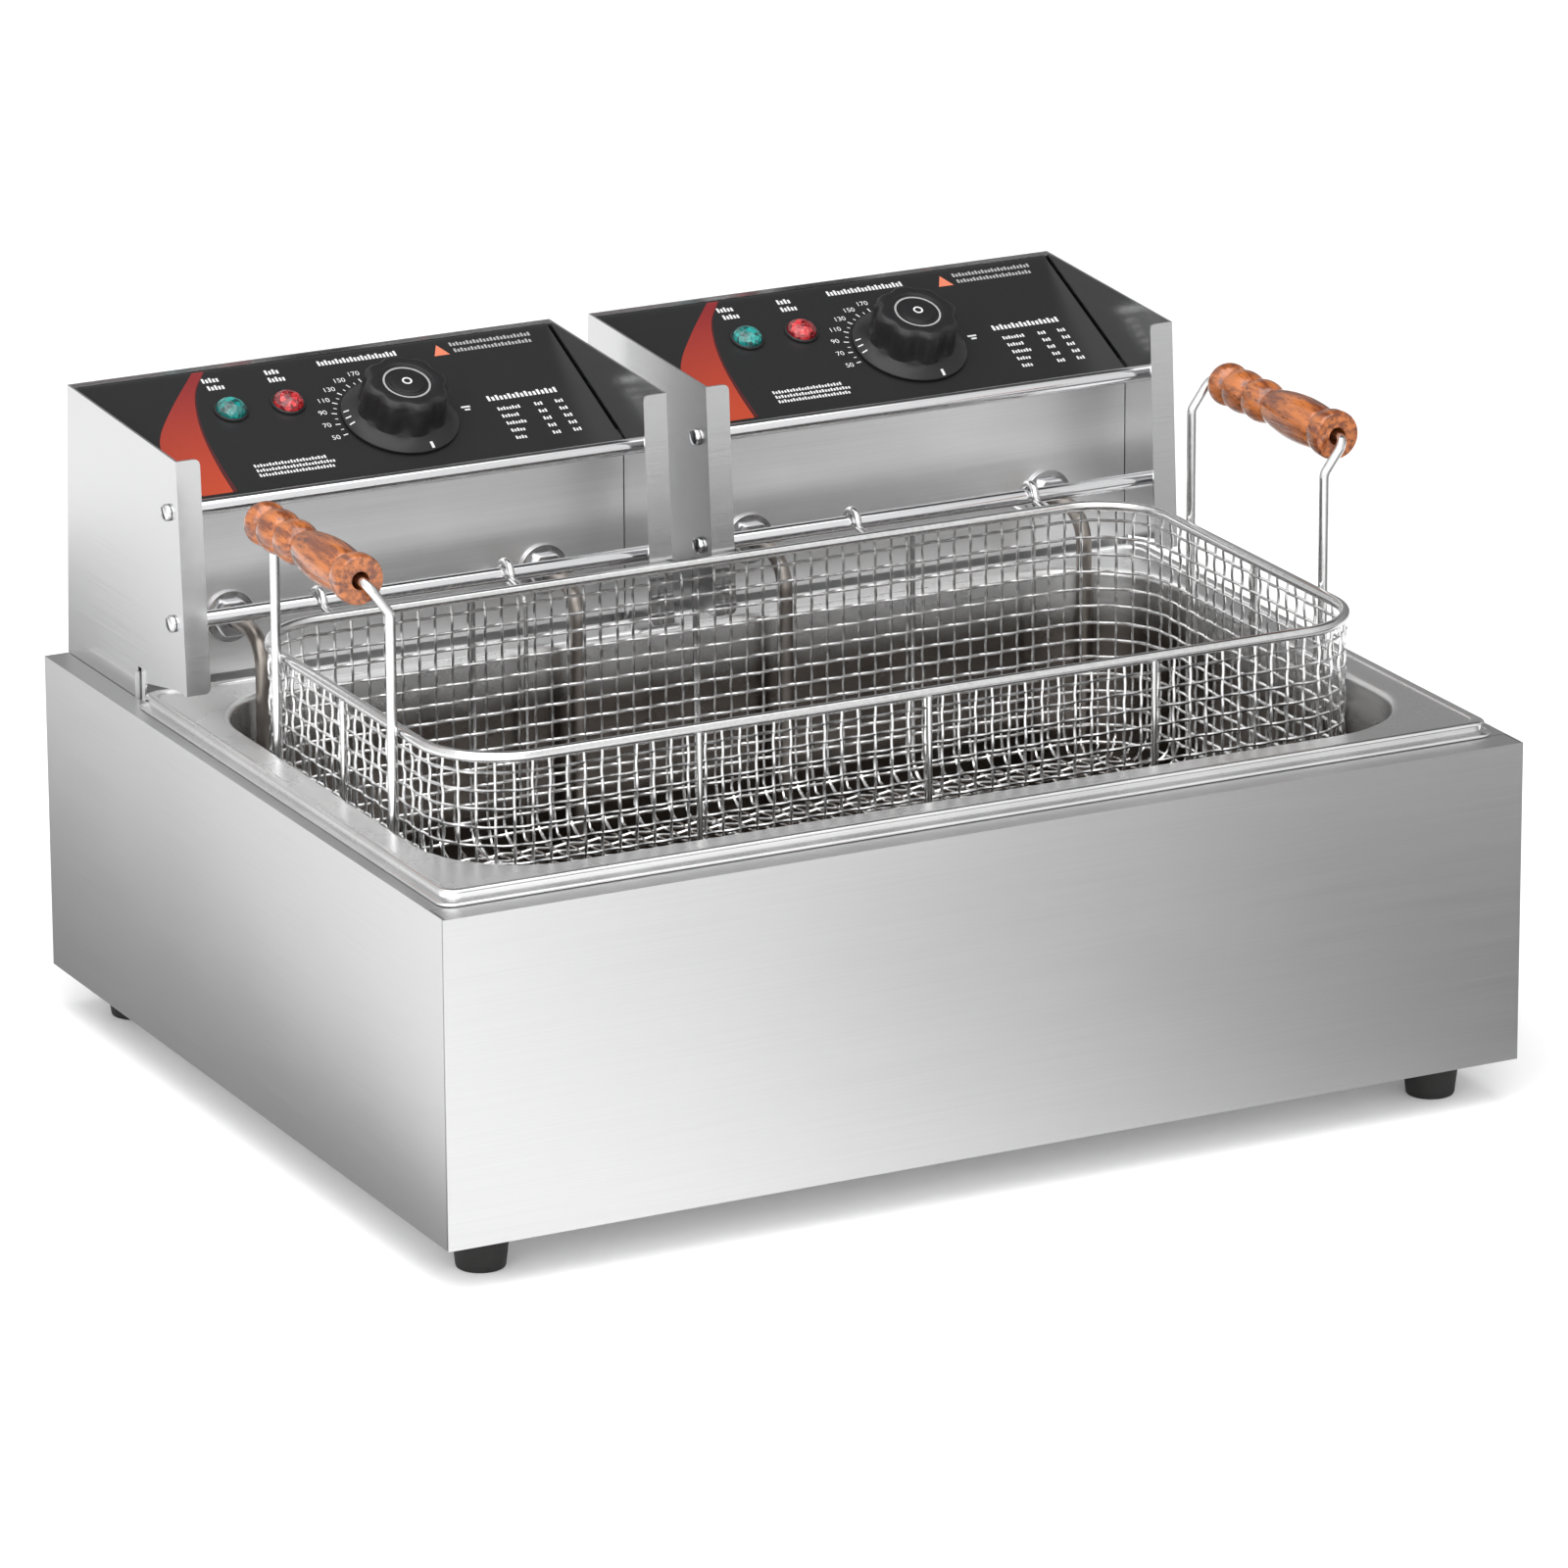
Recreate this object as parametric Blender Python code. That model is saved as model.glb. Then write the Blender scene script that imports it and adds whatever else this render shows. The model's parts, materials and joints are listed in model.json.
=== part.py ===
"""Countertop electric deep fryer: one wide lift-out tank, two heating heads and one large basket.

Metres, +Z up, front towards -Y. The origin is under the middle of the whole fryer, on the surface it
stands on. Most pieces are placed from two frames: the housing frame has its origin on the housing's front
face and underside, and each head frame is the same, moved sideways to the middle of its heating head.
"""

import math

import bmesh
import bpy
from mathutils import Matrix, Vector

# ---- Housing ----
HOUSING_WIDTH = 0.580
HOUSING_DEPTH = 0.470
HOUSING_HEIGHT = 0.163
SHEET = 0.0010
SEAM = 0.0005
LEDGE = 0.016
BASE_RETURN = 0.016
GAP = 0.0003
UPSTAND_RISE = 0.015
UPSTAND_DROP = 0.040
UPSTAND_OVERHANG = 0.0025

FOOT_HEIGHT = 0.022
FOOT_TOP_RADIUS = 0.0145
FOOT_BOTTOM_RADIUS = 0.0120
FOOT_RECESS_RADIUS = 0.0060
FOOT_RECESS_DEPTH = 0.006
FOOT_STUD_RADIUS = 0.0025
FOOT_STUD_LENGTH = 0.009
FOOT_INSET = 0.031
BASE_SCREW_INSET_X = 0.075
BASE_SCREW_INSET_Y = 0.010

# ---- Screws (all one size) ----
SCREW_RADIUS = 0.0020
SCREW_HEAD_RADIUS = 0.0043
SCREW_HEAD_HEIGHT = 0.0028
SCREW_LENGTH = 0.009
SCREW_CLEARANCE = 0.0003

# ---- Tank ----
TANK_SHEET = 0.0010
RIM_SIDE_INSET = 0.0065
RIM_FRONT_INSET = 0.0145
RIM_HEIGHT = 0.0073
RIM_LIP_HEIGHT = 0.0012
RIM_LIP_WIDTH = 0.0015
RIM_BEAD_WIDTH = 0.0075
RIM_DISH = 0.0012
RIM_CORNER_RADIUS = 0.007
RIM_LEDGE_SIDE = 0.0225
RIM_LEDGE_FRONT = 0.0225
TANK_CORNER_RADIUS = 0.055
TANK_DRAFT = 0.002
TANK_EDGE_RADIUS = 0.0035
TANK_FLOOR_RADIUS = 0.015
TANK_UNDER_GAP = 0.0135

# ---- Heating heads ----
HEAD_SIDE_INSET = 0.013
HEAD_GAP = 0.022
HEAD_SHEET = 0.0012
HEAD_HEIGHT = 0.141
HEAD_BACK_RAKE = 0.008
FRONT_PLATE_SETBACK = 0.095
FRONT_PLATE_TO_RIM = 0.0035
FRONT_PLATE_TO_UPSTAND = 0.0040
FLANGE_WIDTH = 0.0128
FLANGE_CORNER = 0.003
FLANGE_TOP_REACH = 0.0468
FLANGE_BOTTOM_REACH = 0.0540
FLANGE_TOP_DROP = 0.0063
FLANGE_BOTTOM_RISE = 0.0175
SIDE_NOTCH_RISE = 0.0105
SLOT_WIDTH = 0.0040
SLOT_HEIGHT = 0.017

FASCIA_THICKNESS = 0.0015
FASCIA_FRONT_DROP = 0.0405
FASCIA_BACK_DROP = 0.0018
FASCIA_BACK_INSET = 0.0005
FASCIA_LIP = 0.006
FASCIA_EDGE = 0.0006
FASCIA_SIDE_GAP = 0.0012

ROD_RADIUS = 0.0040
ROD_END_CHAMFER = 0.0008
ROD_BORE_DEPTH = 0.010
UPPER_ROD_REACH = 0.0366
UPPER_ROD_DROP = 0.0340
RAIL_REACH = 0.0390
RAIL_RISE = 0.0510

# Places on the fascia: sideways from the head's middle, and up the slope from its front edge.
KNOB_PLACE = (0.0243, 0.0385)
POWER_LAMP_PLACE = (-0.0585, 0.0610)
HEAT_LAMP_PLACE = (-0.0276, 0.0605)
KNOB_SKIRT_RADIUS = 0.0300
KNOB_SKIRT_HEIGHT = 0.0045
KNOB_GRIP_RADIUS = 0.0222
KNOB_LOBE_DEPTH = 0.0010
KNOB_LOBES = 8
KNOB_HEIGHT = 0.0230
KNOB_LIFT = 0.0008
KNOB_BORE_DEPTH = 0.016
SHAFT_RADIUS = 0.0030
SHAFT_CLEARANCE = 0.0003
SHAFT_INNER_LENGTH = 0.0050
LAMP_BODY_RADIUS = 0.0060
LAMP_BODY_LENGTH = 0.020
LAMP_FLANGE_RADIUS = 0.0082
LAMP_FLANGE_HEIGHT = 0.0016
LAMP_DOME_HEIGHT = 0.0050
THERMOSTAT_WIDTH = 0.036
THERMOSTAT_DEPTH = 0.026

ELEMENT_RADIUS = 0.0040
ELEMENT_SPREAD = 0.086
ELEMENT_RISE = 0.038
ELEMENT_RUNS = 6
ELEMENT_CORNER_CLEARANCE = 0.0015
ELEMENT_FLOOR_CLEARANCE = 0.022
ELEMENT_FRONT_CLEARANCE = 0.040
ELEMENT_BACK_REACH = 0.075
ELEMENT_TAIL = 0.024
ELEMENT_BEND = 0.018
ELEMENT_HOLE_CLEARANCE = 0.0005
NUT_FLANGE_RADIUS = 0.0130
NUT_FLANGE_HEIGHT = 0.0015
NUT_HEX_RADIUS = 0.0095
NUT_HEIGHT = 0.0070

CAPILLARY_RADIUS = 0.0013
BULB_RADIUS = 0.0030
BULB_LENGTH = 0.080
CAPILLARY_PLACE = 0.060
CAPILLARY_REACH = 0.0335
BULB_ABOVE_ELEMENT = 0.020

CUTOUT_PLACE = (-0.070, 0.060)
CUTOUT_RADIUS = 0.014
CUTOUT_DEPTH = 0.024
CUTOUT_BUSH_RADIUS = 0.0060
CUTOUT_BUSH_REACH = 0.006
RESET_RADIUS = 0.0032
RESET_CLEARANCE = 0.0004
RESET_PROUD = 0.0030
RESET_TRAVEL_ROOM = 0.0045
GLAND_PLACE = (0.060, 0.035)
GLAND_RADIUS = 0.0100
GLAND_NOSE_RADIUS = 0.0075
GLAND_BORE_RADIUS = 0.0045
GLAND_REACH = 0.018
GLAND_INNER = 0.010

# ---- Basket ----
BASKET_SIDE_CLEARANCE = 0.0130
BASKET_FRONT_CLEARANCE = 0.035
BASKET_BACK_CLEARANCE = 0.0005
BASKET_BELOW_RAIL = 0.0030
BASKET_DEPTH = 0.130
BASKET_CORNER_RADIUS = 0.040
BASKET_FLOOR_RADIUS = 0.012
MESH_THICKNESS = 0.0016
BASKET_RIM_RADIUS = 0.00275
RIB_RADIUS = 0.0015
RIB_SPACING = 0.123
HOOK_RADIUS = 0.0020
HOOK_CLEARANCE = 0.0005
HOOK_PLACES = (0.097, 0.199)
HOOK_START_ANGLE = 120
HOOK_TAIL = 0.003
HANDLE_WIRE_RADIUS = 0.0025
HANDLE_SPAN = 0.133
HANDLE_STRAIGHT_RISE = 0.059
HANDLE_GRIP_RISE = 0.016
HANDLE_GRIP_OUT = 0.0115
HANDLE_SHIFT = 0.004
HANDLE_LEG_DROP = 0.112
HANDLE_BEND = 0.006
GRIP_RADIUS = 0.0125
GRIP_BORE_CLEARANCE = 0.0020
GRIP_END_GAP = 0.0075

# ---- Worked out from the values above ----
HALF_WIDTH = HOUSING_WIDTH / 2
HEAD_WIDTH = (HOUSING_WIDTH - 2 * HEAD_SIDE_INSET - HEAD_GAP) / 2
HEAD_CENTRE = (HEAD_GAP + HEAD_WIDTH) / 2
HEAD_HALF = HEAD_WIDTH / 2
HEAD_INNER_HALF = HEAD_HALF - HEAD_SHEET
FRONT_PLATE_Y = HOUSING_DEPTH - FRONT_PLATE_SETBACK
UPSTAND_Y = FRONT_PLATE_Y + FRONT_PLATE_TO_UPSTAND
HEAD_BASE_Z = HOUSING_HEIGHT + GAP
HEAD_TOP_Z = HEAD_BASE_Z + HEAD_HEIGHT
BACK_RAKE_ANGLE = math.atan2(HEAD_BACK_RAKE, HEAD_HEIGHT)

FASCIA_FRONT = Vector((0, FRONT_PLATE_Y - 0.0005, HOUSING_HEIGHT + HEAD_HEIGHT - FASCIA_FRONT_DROP))
FASCIA_BACK_Y = HOUSING_DEPTH - HEAD_BACK_RAKE - HEAD_SHEET - FASCIA_BACK_INSET
FASCIA_BACK_Z = HOUSING_HEIGHT + HEAD_HEIGHT - FASCIA_BACK_DROP
FASCIA_SLOPE = math.atan2(FASCIA_BACK_Z - FASCIA_FRONT.z, FASCIA_BACK_Y - FASCIA_FRONT.y)
FASCIA_LENGTH = math.hypot(FASCIA_BACK_Z - FASCIA_FRONT.z, FASCIA_BACK_Y - FASCIA_FRONT.y)

UPPER_ROD_Y = FRONT_PLATE_Y - UPPER_ROD_REACH
UPPER_ROD_Z = HOUSING_HEIGHT + HEAD_HEIGHT - UPPER_ROD_DROP
RAIL_Y = FRONT_PLATE_Y - RAIL_REACH
RAIL_Z = HOUSING_HEIGHT + RAIL_RISE
SCREW_HOLE_RADIUS = SCREW_RADIUS + SCREW_CLEARANCE

RIM_HALF_WIDTH = HALF_WIDTH - RIM_SIDE_INSET
RIM_BACK_Y = FRONT_PLATE_Y - FRONT_PLATE_TO_RIM
RIM_HALF_DEPTH = (RIM_BACK_Y - RIM_FRONT_INSET) / 2
TANK_CENTRE_Y = (RIM_BACK_Y + RIM_FRONT_INSET) / 2
RIM_BASE_Z = HOUSING_HEIGHT + GAP
RIM_TOP_Z = RIM_BASE_Z + RIM_HEIGHT
TANK_HALF_WIDTH = RIM_HALF_WIDTH - RIM_LEDGE_SIDE
TANK_HALF_DEPTH = RIM_HALF_DEPTH - RIM_LEDGE_FRONT
TANK_FRONT_Y = TANK_CENTRE_Y - TANK_HALF_DEPTH
TANK_FLOOR_Z = SHEET + TANK_UNDER_GAP + TANK_SHEET

ELEMENT_EXIT_Z = HOUSING_HEIGHT + ELEMENT_RISE
ELEMENT_FLOOR_Z = TANK_FLOOR_Z + ELEMENT_FLOOR_CLEARANCE
ELEMENT_CORNER_ROOM = TANK_CORNER_RADIUS - TANK_DRAFT - ELEMENT_RADIUS - ELEMENT_CORNER_CLEARANCE
ELEMENT_PAST_CORNER = max(HEAD_CENTRE + ELEMENT_SPREAD - (TANK_HALF_WIDTH - TANK_CORNER_RADIUS), 0)
ELEMENT_CORNER_Y = TANK_CENTRE_Y + TANK_HALF_DEPTH - TANK_CORNER_RADIUS
ELEMENT_DROP_Y = ELEMENT_CORNER_Y + math.sqrt(ELEMENT_CORNER_ROOM**2 - ELEMENT_PAST_CORNER**2)
ELEMENT_FRONT_Y = TANK_FRONT_Y + ELEMENT_FRONT_CLEARANCE
ELEMENT_BACK_Y = FRONT_PLATE_Y - ELEMENT_BACK_REACH
ELEMENT_PITCH = 2 * ELEMENT_SPREAD / (ELEMENT_RUNS - 1)

BASKET_HALF_WIDTH = TANK_HALF_WIDTH - BASKET_SIDE_CLEARANCE
BASKET_RIM_Z = RAIL_Z - BASKET_BELOW_RAIL
BASKET_FLOOR_Z = BASKET_RIM_Z - BASKET_DEPTH
BASKET_BACK_Y = FRONT_PLATE_Y - FLANGE_BOTTOM_REACH - BASKET_RIM_RADIUS - BASKET_BACK_CLEARANCE
BASKET_FRONT_Y = TANK_FRONT_Y + BASKET_FRONT_CLEARANCE
BASKET_CENTRE_Y = (BASKET_FRONT_Y + BASKET_BACK_Y) / 2
BASKET_HALF_DEPTH = (BASKET_BACK_Y - BASKET_FRONT_Y) / 2
RIB_OFFSET = MESH_THICKNESS / 2 + GAP + RIB_RADIUS
HANDLE_X = BASKET_HALF_WIDTH + BASKET_RIM_RADIUS + GAP + HANDLE_WIRE_RADIUS
GRIP_X = HANDLE_X + HANDLE_GRIP_OUT
HANDLE_BEND_Z = BASKET_RIM_Z + HANDLE_STRAIGHT_RISE
GRIP_Z = HANDLE_BEND_Z + HANDLE_GRIP_RISE
GRIP_LENGTH = HANDLE_SPAN - 2 * GRIP_END_GAP

GLAND_Z = HEAD_BASE_Z + GLAND_PLACE[1]
GLAND_WALL_Y = HOUSING_DEPTH - GLAND_PLACE[1] * math.tan(BACK_RAKE_ANGLE)
GLAND_END = GLAND_REACH * math.cos(BACK_RAKE_ANGLE) + GLAND_NOSE_RADIUS * math.sin(BACK_RAKE_ANGLE)
OVERALL_DEPTH = GLAND_WALL_Y + GLAND_END
HOUSING_FRONT_Y = -OVERALL_DEPTH / 2

X_AXIS = Vector((1, 0, 0))
Y_AXIS = Vector((0, 1, 0))
Z_AXIS = Vector((0, 0, 1))


# ---- Scene and materials ----
def clear_scene():
    for obj in list(bpy.data.objects):
        bpy.data.objects.remove(obj, do_unlink=True)


def make_material(name, color, roughness, metallic):
    material = bpy.data.materials.new(name)
    material.use_nodes = True
    shader = material.node_tree.nodes["Principled BSDF"]
    shader.inputs["Base Color"].default_value = (*color, 1.0)
    shader.inputs["Roughness"].default_value = roughness
    shader.inputs["Metallic"].default_value = metallic
    return material


clear_scene()
STEEL = make_material("brushed_steel", (0.62, 0.62, 0.63), 0.32, 1.0)
POLISHED = make_material("polished_steel", (0.75, 0.75, 0.76), 0.12, 1.0)
TANK_STEEL = make_material("tank_steel", (0.66, 0.65, 0.63), 0.25, 1.0)
BLACK_PAINT = make_material("fascia_black", (0.035, 0.036, 0.038), 0.45, 0.0)
BLACK_PLASTIC = make_material("knob_black", (0.02, 0.02, 0.02), 0.40, 0.0)
RUBBER = make_material("foot_rubber", (0.015, 0.015, 0.015), 0.70, 0.0)
WOOD = make_material("grip_wood", (0.62, 0.30, 0.13), 0.35, 0.0)
GREEN = make_material("lamp_green", (0.0, 0.35, 0.30), 0.10, 0.0)
RED = make_material("lamp_red", (0.65, 0.02, 0.03), 0.10, 0.0)
ELEMENT_STEEL = make_material("element_steel", (0.40, 0.38, 0.36), 0.35, 1.0)


# ---- Building blocks ----
def make_frame(name, location, rotation=(0, 0, 0), parent=None):
    """An empty that pieces are placed from."""
    frame = bpy.data.objects.new(name, None)
    bpy.context.scene.collection.objects.link(frame)
    frame.location = location
    frame.rotation_euler = rotation
    frame.parent = parent
    return frame


def make_object(name, mesh_data, material, frame, location=(0, 0, 0)):
    """An object from a bmesh, shaded smooth except at its sharp edges."""
    bmesh.ops.recalc_face_normals(mesh_data, faces=mesh_data.faces)
    mesh = bpy.data.meshes.new(name)
    mesh_data.to_mesh(mesh)
    mesh_data.free()
    mesh.shade_smooth()
    mesh.set_sharp_from_angle(angle=math.radians(35))
    if material:
        mesh.materials.append(material)
    obj = bpy.data.objects.new(name, mesh)
    bpy.context.scene.collection.objects.link(obj)
    obj.parent = frame
    obj.location = location
    return obj


def hide_tool(obj):
    """Marks a cutter or a piece that only joins another one."""
    obj.hide_render = True
    obj.display_type = "WIRE"
    return obj


def combine(obj, tool, operation):
    modifier = obj.modifiers.new(operation.lower() + "_" + tool.name, "BOOLEAN")
    modifier.operation = operation
    modifier.solver = "EXACT"
    modifier.object = hide_tool(tool)
    return obj


def cut(obj, tool):
    return combine(obj, tool, "DIFFERENCE")


def join(obj, tool):
    return combine(obj, tool, "UNION")


def skin_rings(rings, loop=False):
    """A closed bmesh through rings of equal length: capped at both ends, or closed into a loop."""
    mesh_data = bmesh.new()
    rows = [[mesh_data.verts.new(point) for point in ring] for ring in rings]
    pairs = list(zip(rows, rows[1:]))
    if loop:
        pairs.append((rows[-1], rows[0]))
    for low, high in pairs:
        for i in range(len(low)):
            j = (i + 1) % len(low)
            mesh_data.faces.new((low[i], low[j], high[j], high[i]))
    if not loop:
        mesh_data.faces.new(list(reversed(rows[0])))
        mesh_data.faces.new(rows[-1])
    return mesh_data


def prism(outline, axis, low, high):
    """The outline (in the two other axes, in X, Y, Z order) extruded along one axis."""
    slot = "XYZ".index(axis)

    def place(point, along):
        coords = list(point)
        coords.insert(slot, along)
        return Vector(coords)

    return skin_rings([[place(p, low) for p in outline], [place(p, high) for p in outline]])


def box(low, high):
    outline = [(low[0], low[1]), (high[0], low[1]), (high[0], high[1]), (low[0], high[1])]
    return prism(outline, "Z", low[2], high[2])


def circle_ring(centre, normal, radius, sides, phase=0.0):
    normal = Vector(normal).normalized()
    side = normal.cross(X_AXIS if abs(normal.x) < 0.9 else Z_AXIS).normalized()
    other = normal.cross(side)
    ring = []
    for i in range(sides):
        angle = phase + 2 * math.pi * i / sides
        ring.append(Vector(centre) + radius * (math.cos(angle) * side + math.sin(angle) * other))
    return ring


def turned(profile, sides, axis=Z_AXIS, loop=False):
    """A profile of (radius, distance along the axis) turned about an axis through the origin."""
    rings = [circle_ring(Vector(axis) * along, axis, radius, sides) for radius, along in profile]
    return skin_rings(rings, loop)


def rod(start, end, radius, sides=12):
    direction = Vector(end) - Vector(start)
    rings = [circle_ring(start, direction, radius, sides), circle_ring(end, direction, radius, sides)]
    return skin_rings(rings)


def rounded_path(points, radius, steps):
    """The corners of a path replaced by arcs of one radius, in straight steps."""
    points = [Vector(p) for p in points]
    path = [points[0]]
    for before, corner, after in zip(points, points[1:], points[2:]):
        inward = (before - corner).normalized()
        outward = (after - corner).normalized()
        half = inward.angle(outward) / 2
        reach = radius / math.tan(half)
        centre = corner + (inward + outward).normalized() * radius / math.sin(half)
        start = corner + inward * reach - centre
        end = corner + outward * reach - centre
        turn = start.angle(end)
        for k in range(steps + 1):
            share = k / steps
            weight_start = math.sin((1 - share) * turn) / math.sin(turn)
            weight_end = math.sin(share * turn) / math.sin(turn)
            path.append(centre + start * weight_start + end * weight_end)
    path.append(points[-1])
    return path


def tube(path, radius, sides, loop=False):
    """A round wire along a path. Each ring lies square to the path and is carried on without twist."""
    count = len(path)
    rings = []
    side = None
    for i, point in enumerate(path):
        before = path[i - 1] if i or loop else point
        after = path[(i + 1) % count] if i < count - 1 or loop else point
        tangent = (after - before).normalized()
        if side is None:
            side = tangent.cross(Z_AXIS if abs(tangent.z) < 0.9 else X_AXIS).normalized()
        side = (side - tangent * side.dot(tangent)).normalized()
        other = tangent.cross(side)
        angles = [2 * math.pi * k / sides for k in range(sides)]
        rings.append([point + radius * (math.cos(a) * side + math.sin(a) * other) for a in angles])
    return skin_rings(rings, loop)


def rounded_rectangle(half_width, half_depth, radius, steps):
    """Points around a rectangle with round corners, centred on the origin, the same number at any size."""
    corners = ((1, -1, -90), (1, 1, 0), (-1, 1, 90), (-1, -1, 180))
    points = []
    for sign_x, sign_y, start in corners:
        for k in range(steps + 1):
            angle = math.radians(start + 90 * k / steps)
            x = sign_x * (half_width - radius) + radius * math.cos(angle)
            y = sign_y * (half_depth - radius) + radius * math.sin(angle)
            points.append((x, y))
    return points


def level_ring(half_width, half_depth, radius, z, steps):
    return [Vector((x, y, z)) for x, y in rounded_rectangle(half_width, half_depth, radius, steps)]


def arc_points(centre, radius, start, end, steps):
    """Points on an arc, from one angle to another in degrees."""
    points = []
    for k in range(steps + 1):
        angle = math.radians(start + (end - start) * k / steps)
        points.append((centre[0] + radius * math.cos(angle), centre[1] + radius * math.sin(angle)))
    return points


def make_screw(name, frame, place, direction):
    """A pan-head screw: the head's underside is at its origin, and the shank runs along direction."""
    direction = Vector(direction)
    profile = [
        (SCREW_HEAD_RADIUS * 0.55, -SCREW_HEAD_HEIGHT),
        (SCREW_HEAD_RADIUS * 0.90, -SCREW_HEAD_HEIGHT * 0.70),
        (SCREW_HEAD_RADIUS, -SCREW_HEAD_HEIGHT * 0.30),
        (SCREW_HEAD_RADIUS, 0),
        (SCREW_RADIUS, 0),
        (SCREW_RADIUS, SCREW_LENGTH),
    ]
    return make_object(name, turned(profile, 10, direction), POLISHED, frame, place)


# ---- Housing ----
def build_housing(frame):
    build_housing_shell(frame)
    build_front_panel(frame)
    build_base_plate(frame)
    for side, sign in (("left", -1), ("right", 1)):
        for end, y in (("front", FOOT_INSET), ("rear", HOUSING_DEPTH - FOOT_INSET)):
            build_foot(f"foot_{end}_{side}", frame, (sign * (HALF_WIDTH - FOOT_INSET), y, 0))
        for end, y in (("front", BASE_SCREW_INSET_Y), ("rear", HOUSING_DEPTH - BASE_SCREW_INSET_Y)):
            place = (sign * (HALF_WIDTH - BASE_SCREW_INSET_X), y, -GAP)
            make_screw(f"base_screw_{end}_{side}", frame, place, (0, 0, 1))


def base_screw_drill(name, frame, y, z_low, z_high):
    """Cutters for the two base screws at one end of the housing."""
    drills = []
    for sign in (-1, 1):
        x = sign * (HALF_WIDTH - BASE_SCREW_INSET_X)
        shape = rod((x, y, z_low), (x, y, z_high), SCREW_HOLE_RADIUS, 10)
        drills.append(make_object(f"{name}_{'left' if sign < 0 else 'right'}", shape, None, frame))
    return drills


def build_housing_shell(frame):
    """Side walls, back wall, side ledges, rear deck and the cross wall that the heads hook over."""
    front = SHEET + SEAM
    outer = box((-HALF_WIDTH, front, 0), (HALF_WIDTH, HOUSING_DEPTH, HOUSING_HEIGHT))
    shell = make_object("housing_shell", outer, STEEL, frame)
    beyond = 0.01
    inner_x = HALF_WIDTH - SHEET
    hollow = box((-inner_x, -beyond, -beyond), (inner_x, HOUSING_DEPTH - SHEET, HOUSING_HEIGHT - SHEET))
    cut(shell, make_object("shell_hollow", hollow, None, frame))
    ledge_x = HALF_WIDTH - LEDGE
    opening = box((-ledge_x, -beyond, HOUSING_HEIGHT - 0.01), (ledge_x, UPSTAND_Y, HOUSING_HEIGHT + beyond))
    cut(shell, make_object("shell_opening", opening, None, frame))
    low = (-inner_x, -beyond, HOUSING_HEIGHT - 0.01)
    corner = box(low, (inner_x, LEDGE + SEAM, HOUSING_HEIGHT + beyond))
    cut(shell, make_object("shell_front_notch", corner, None, frame))
    reach = HEAD_CENTRE + HEAD_HALF + UPSTAND_OVERHANG
    low = (-reach, UPSTAND_Y - SHEET / 2, HOUSING_HEIGHT - UPSTAND_DROP)
    high = (reach, UPSTAND_Y + SHEET / 2, HOUSING_HEIGHT + UPSTAND_RISE)
    join(shell, make_object("shell_upstand", box(low, high), None, frame))
    back = HOUSING_DEPTH - SHEET / 2
    bottom = SHEET + GAP
    lip_x = inner_x + SHEET / 2
    lip = box((-lip_x, back - BASE_RETURN, bottom), (lip_x, back, bottom + SHEET))
    join(shell, make_object("shell_base_return", lip, None, frame))
    y = HOUSING_DEPTH - BASE_SCREW_INSET_Y
    for drill in base_screw_drill("shell_drill", frame, y, -0.001, bottom + 2 * SHEET):
        cut(shell, drill)


def build_front_panel(frame):
    """One sheet bent inwards at the top and at the bottom."""
    top = HOUSING_HEIGHT
    lip_z = SHEET + GAP
    outline = [
        (0, 0),
        (SHEET, 0),
        (SHEET, lip_z),
        (BASE_RETURN, lip_z),
        (BASE_RETURN, lip_z + SHEET),
        (SHEET, lip_z + SHEET),
        (SHEET, top - SHEET),
        (LEDGE, top - SHEET),
        (LEDGE, top),
        (0, top),
    ]
    face = make_object("front_panel", prism(outline, "X", -HALF_WIDTH, HALF_WIDTH), STEEL, frame)
    inner_x = HALF_WIDTH - SHEET - SEAM
    for sign in (-1, 1):
        low_x, high_x = sorted((sign * inner_x, sign * (HALF_WIDTH + 0.01)))
        corner = box((low_x, SHEET, -0.01), (high_x, LEDGE + 0.01, HOUSING_HEIGHT + 0.01))
        cut(face, make_object(f"front_panel_corner_{'left' if sign < 0 else 'right'}", corner, None, frame))
    for drill in base_screw_drill("panel_drill", frame, BASE_SCREW_INSET_Y, -0.001, lip_z + 2 * SHEET):
        cut(face, drill)


def build_base_plate(frame):
    inner_x = HALF_WIDTH - SHEET - GAP
    low = (-inner_x, SHEET + GAP, 0)
    high = (inner_x, HOUSING_DEPTH - SHEET - GAP, SHEET)
    plate = make_object("base_plate", box(low, high), STEEL, frame)
    for end, y in (("front", BASE_SCREW_INSET_Y), ("rear", HOUSING_DEPTH - BASE_SCREW_INSET_Y)):
        for drill in base_screw_drill(f"base_drill_{end}", frame, y, -0.01, 0.01):
            cut(plate, drill)
    for sign in (-1, 1):
        for end, y in (("front", FOOT_INSET), ("rear", HOUSING_DEPTH - FOOT_INSET)):
            x = sign * (HALF_WIDTH - FOOT_INSET)
            hole = rod((x, y, -0.01), (x, y, 0.01), FOOT_STUD_RADIUS + GAP, 10)
            cut(plate, make_object(f"foot_drill_{end}_{'left' if sign < 0 else 'right'}", hole, None, frame))


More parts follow.
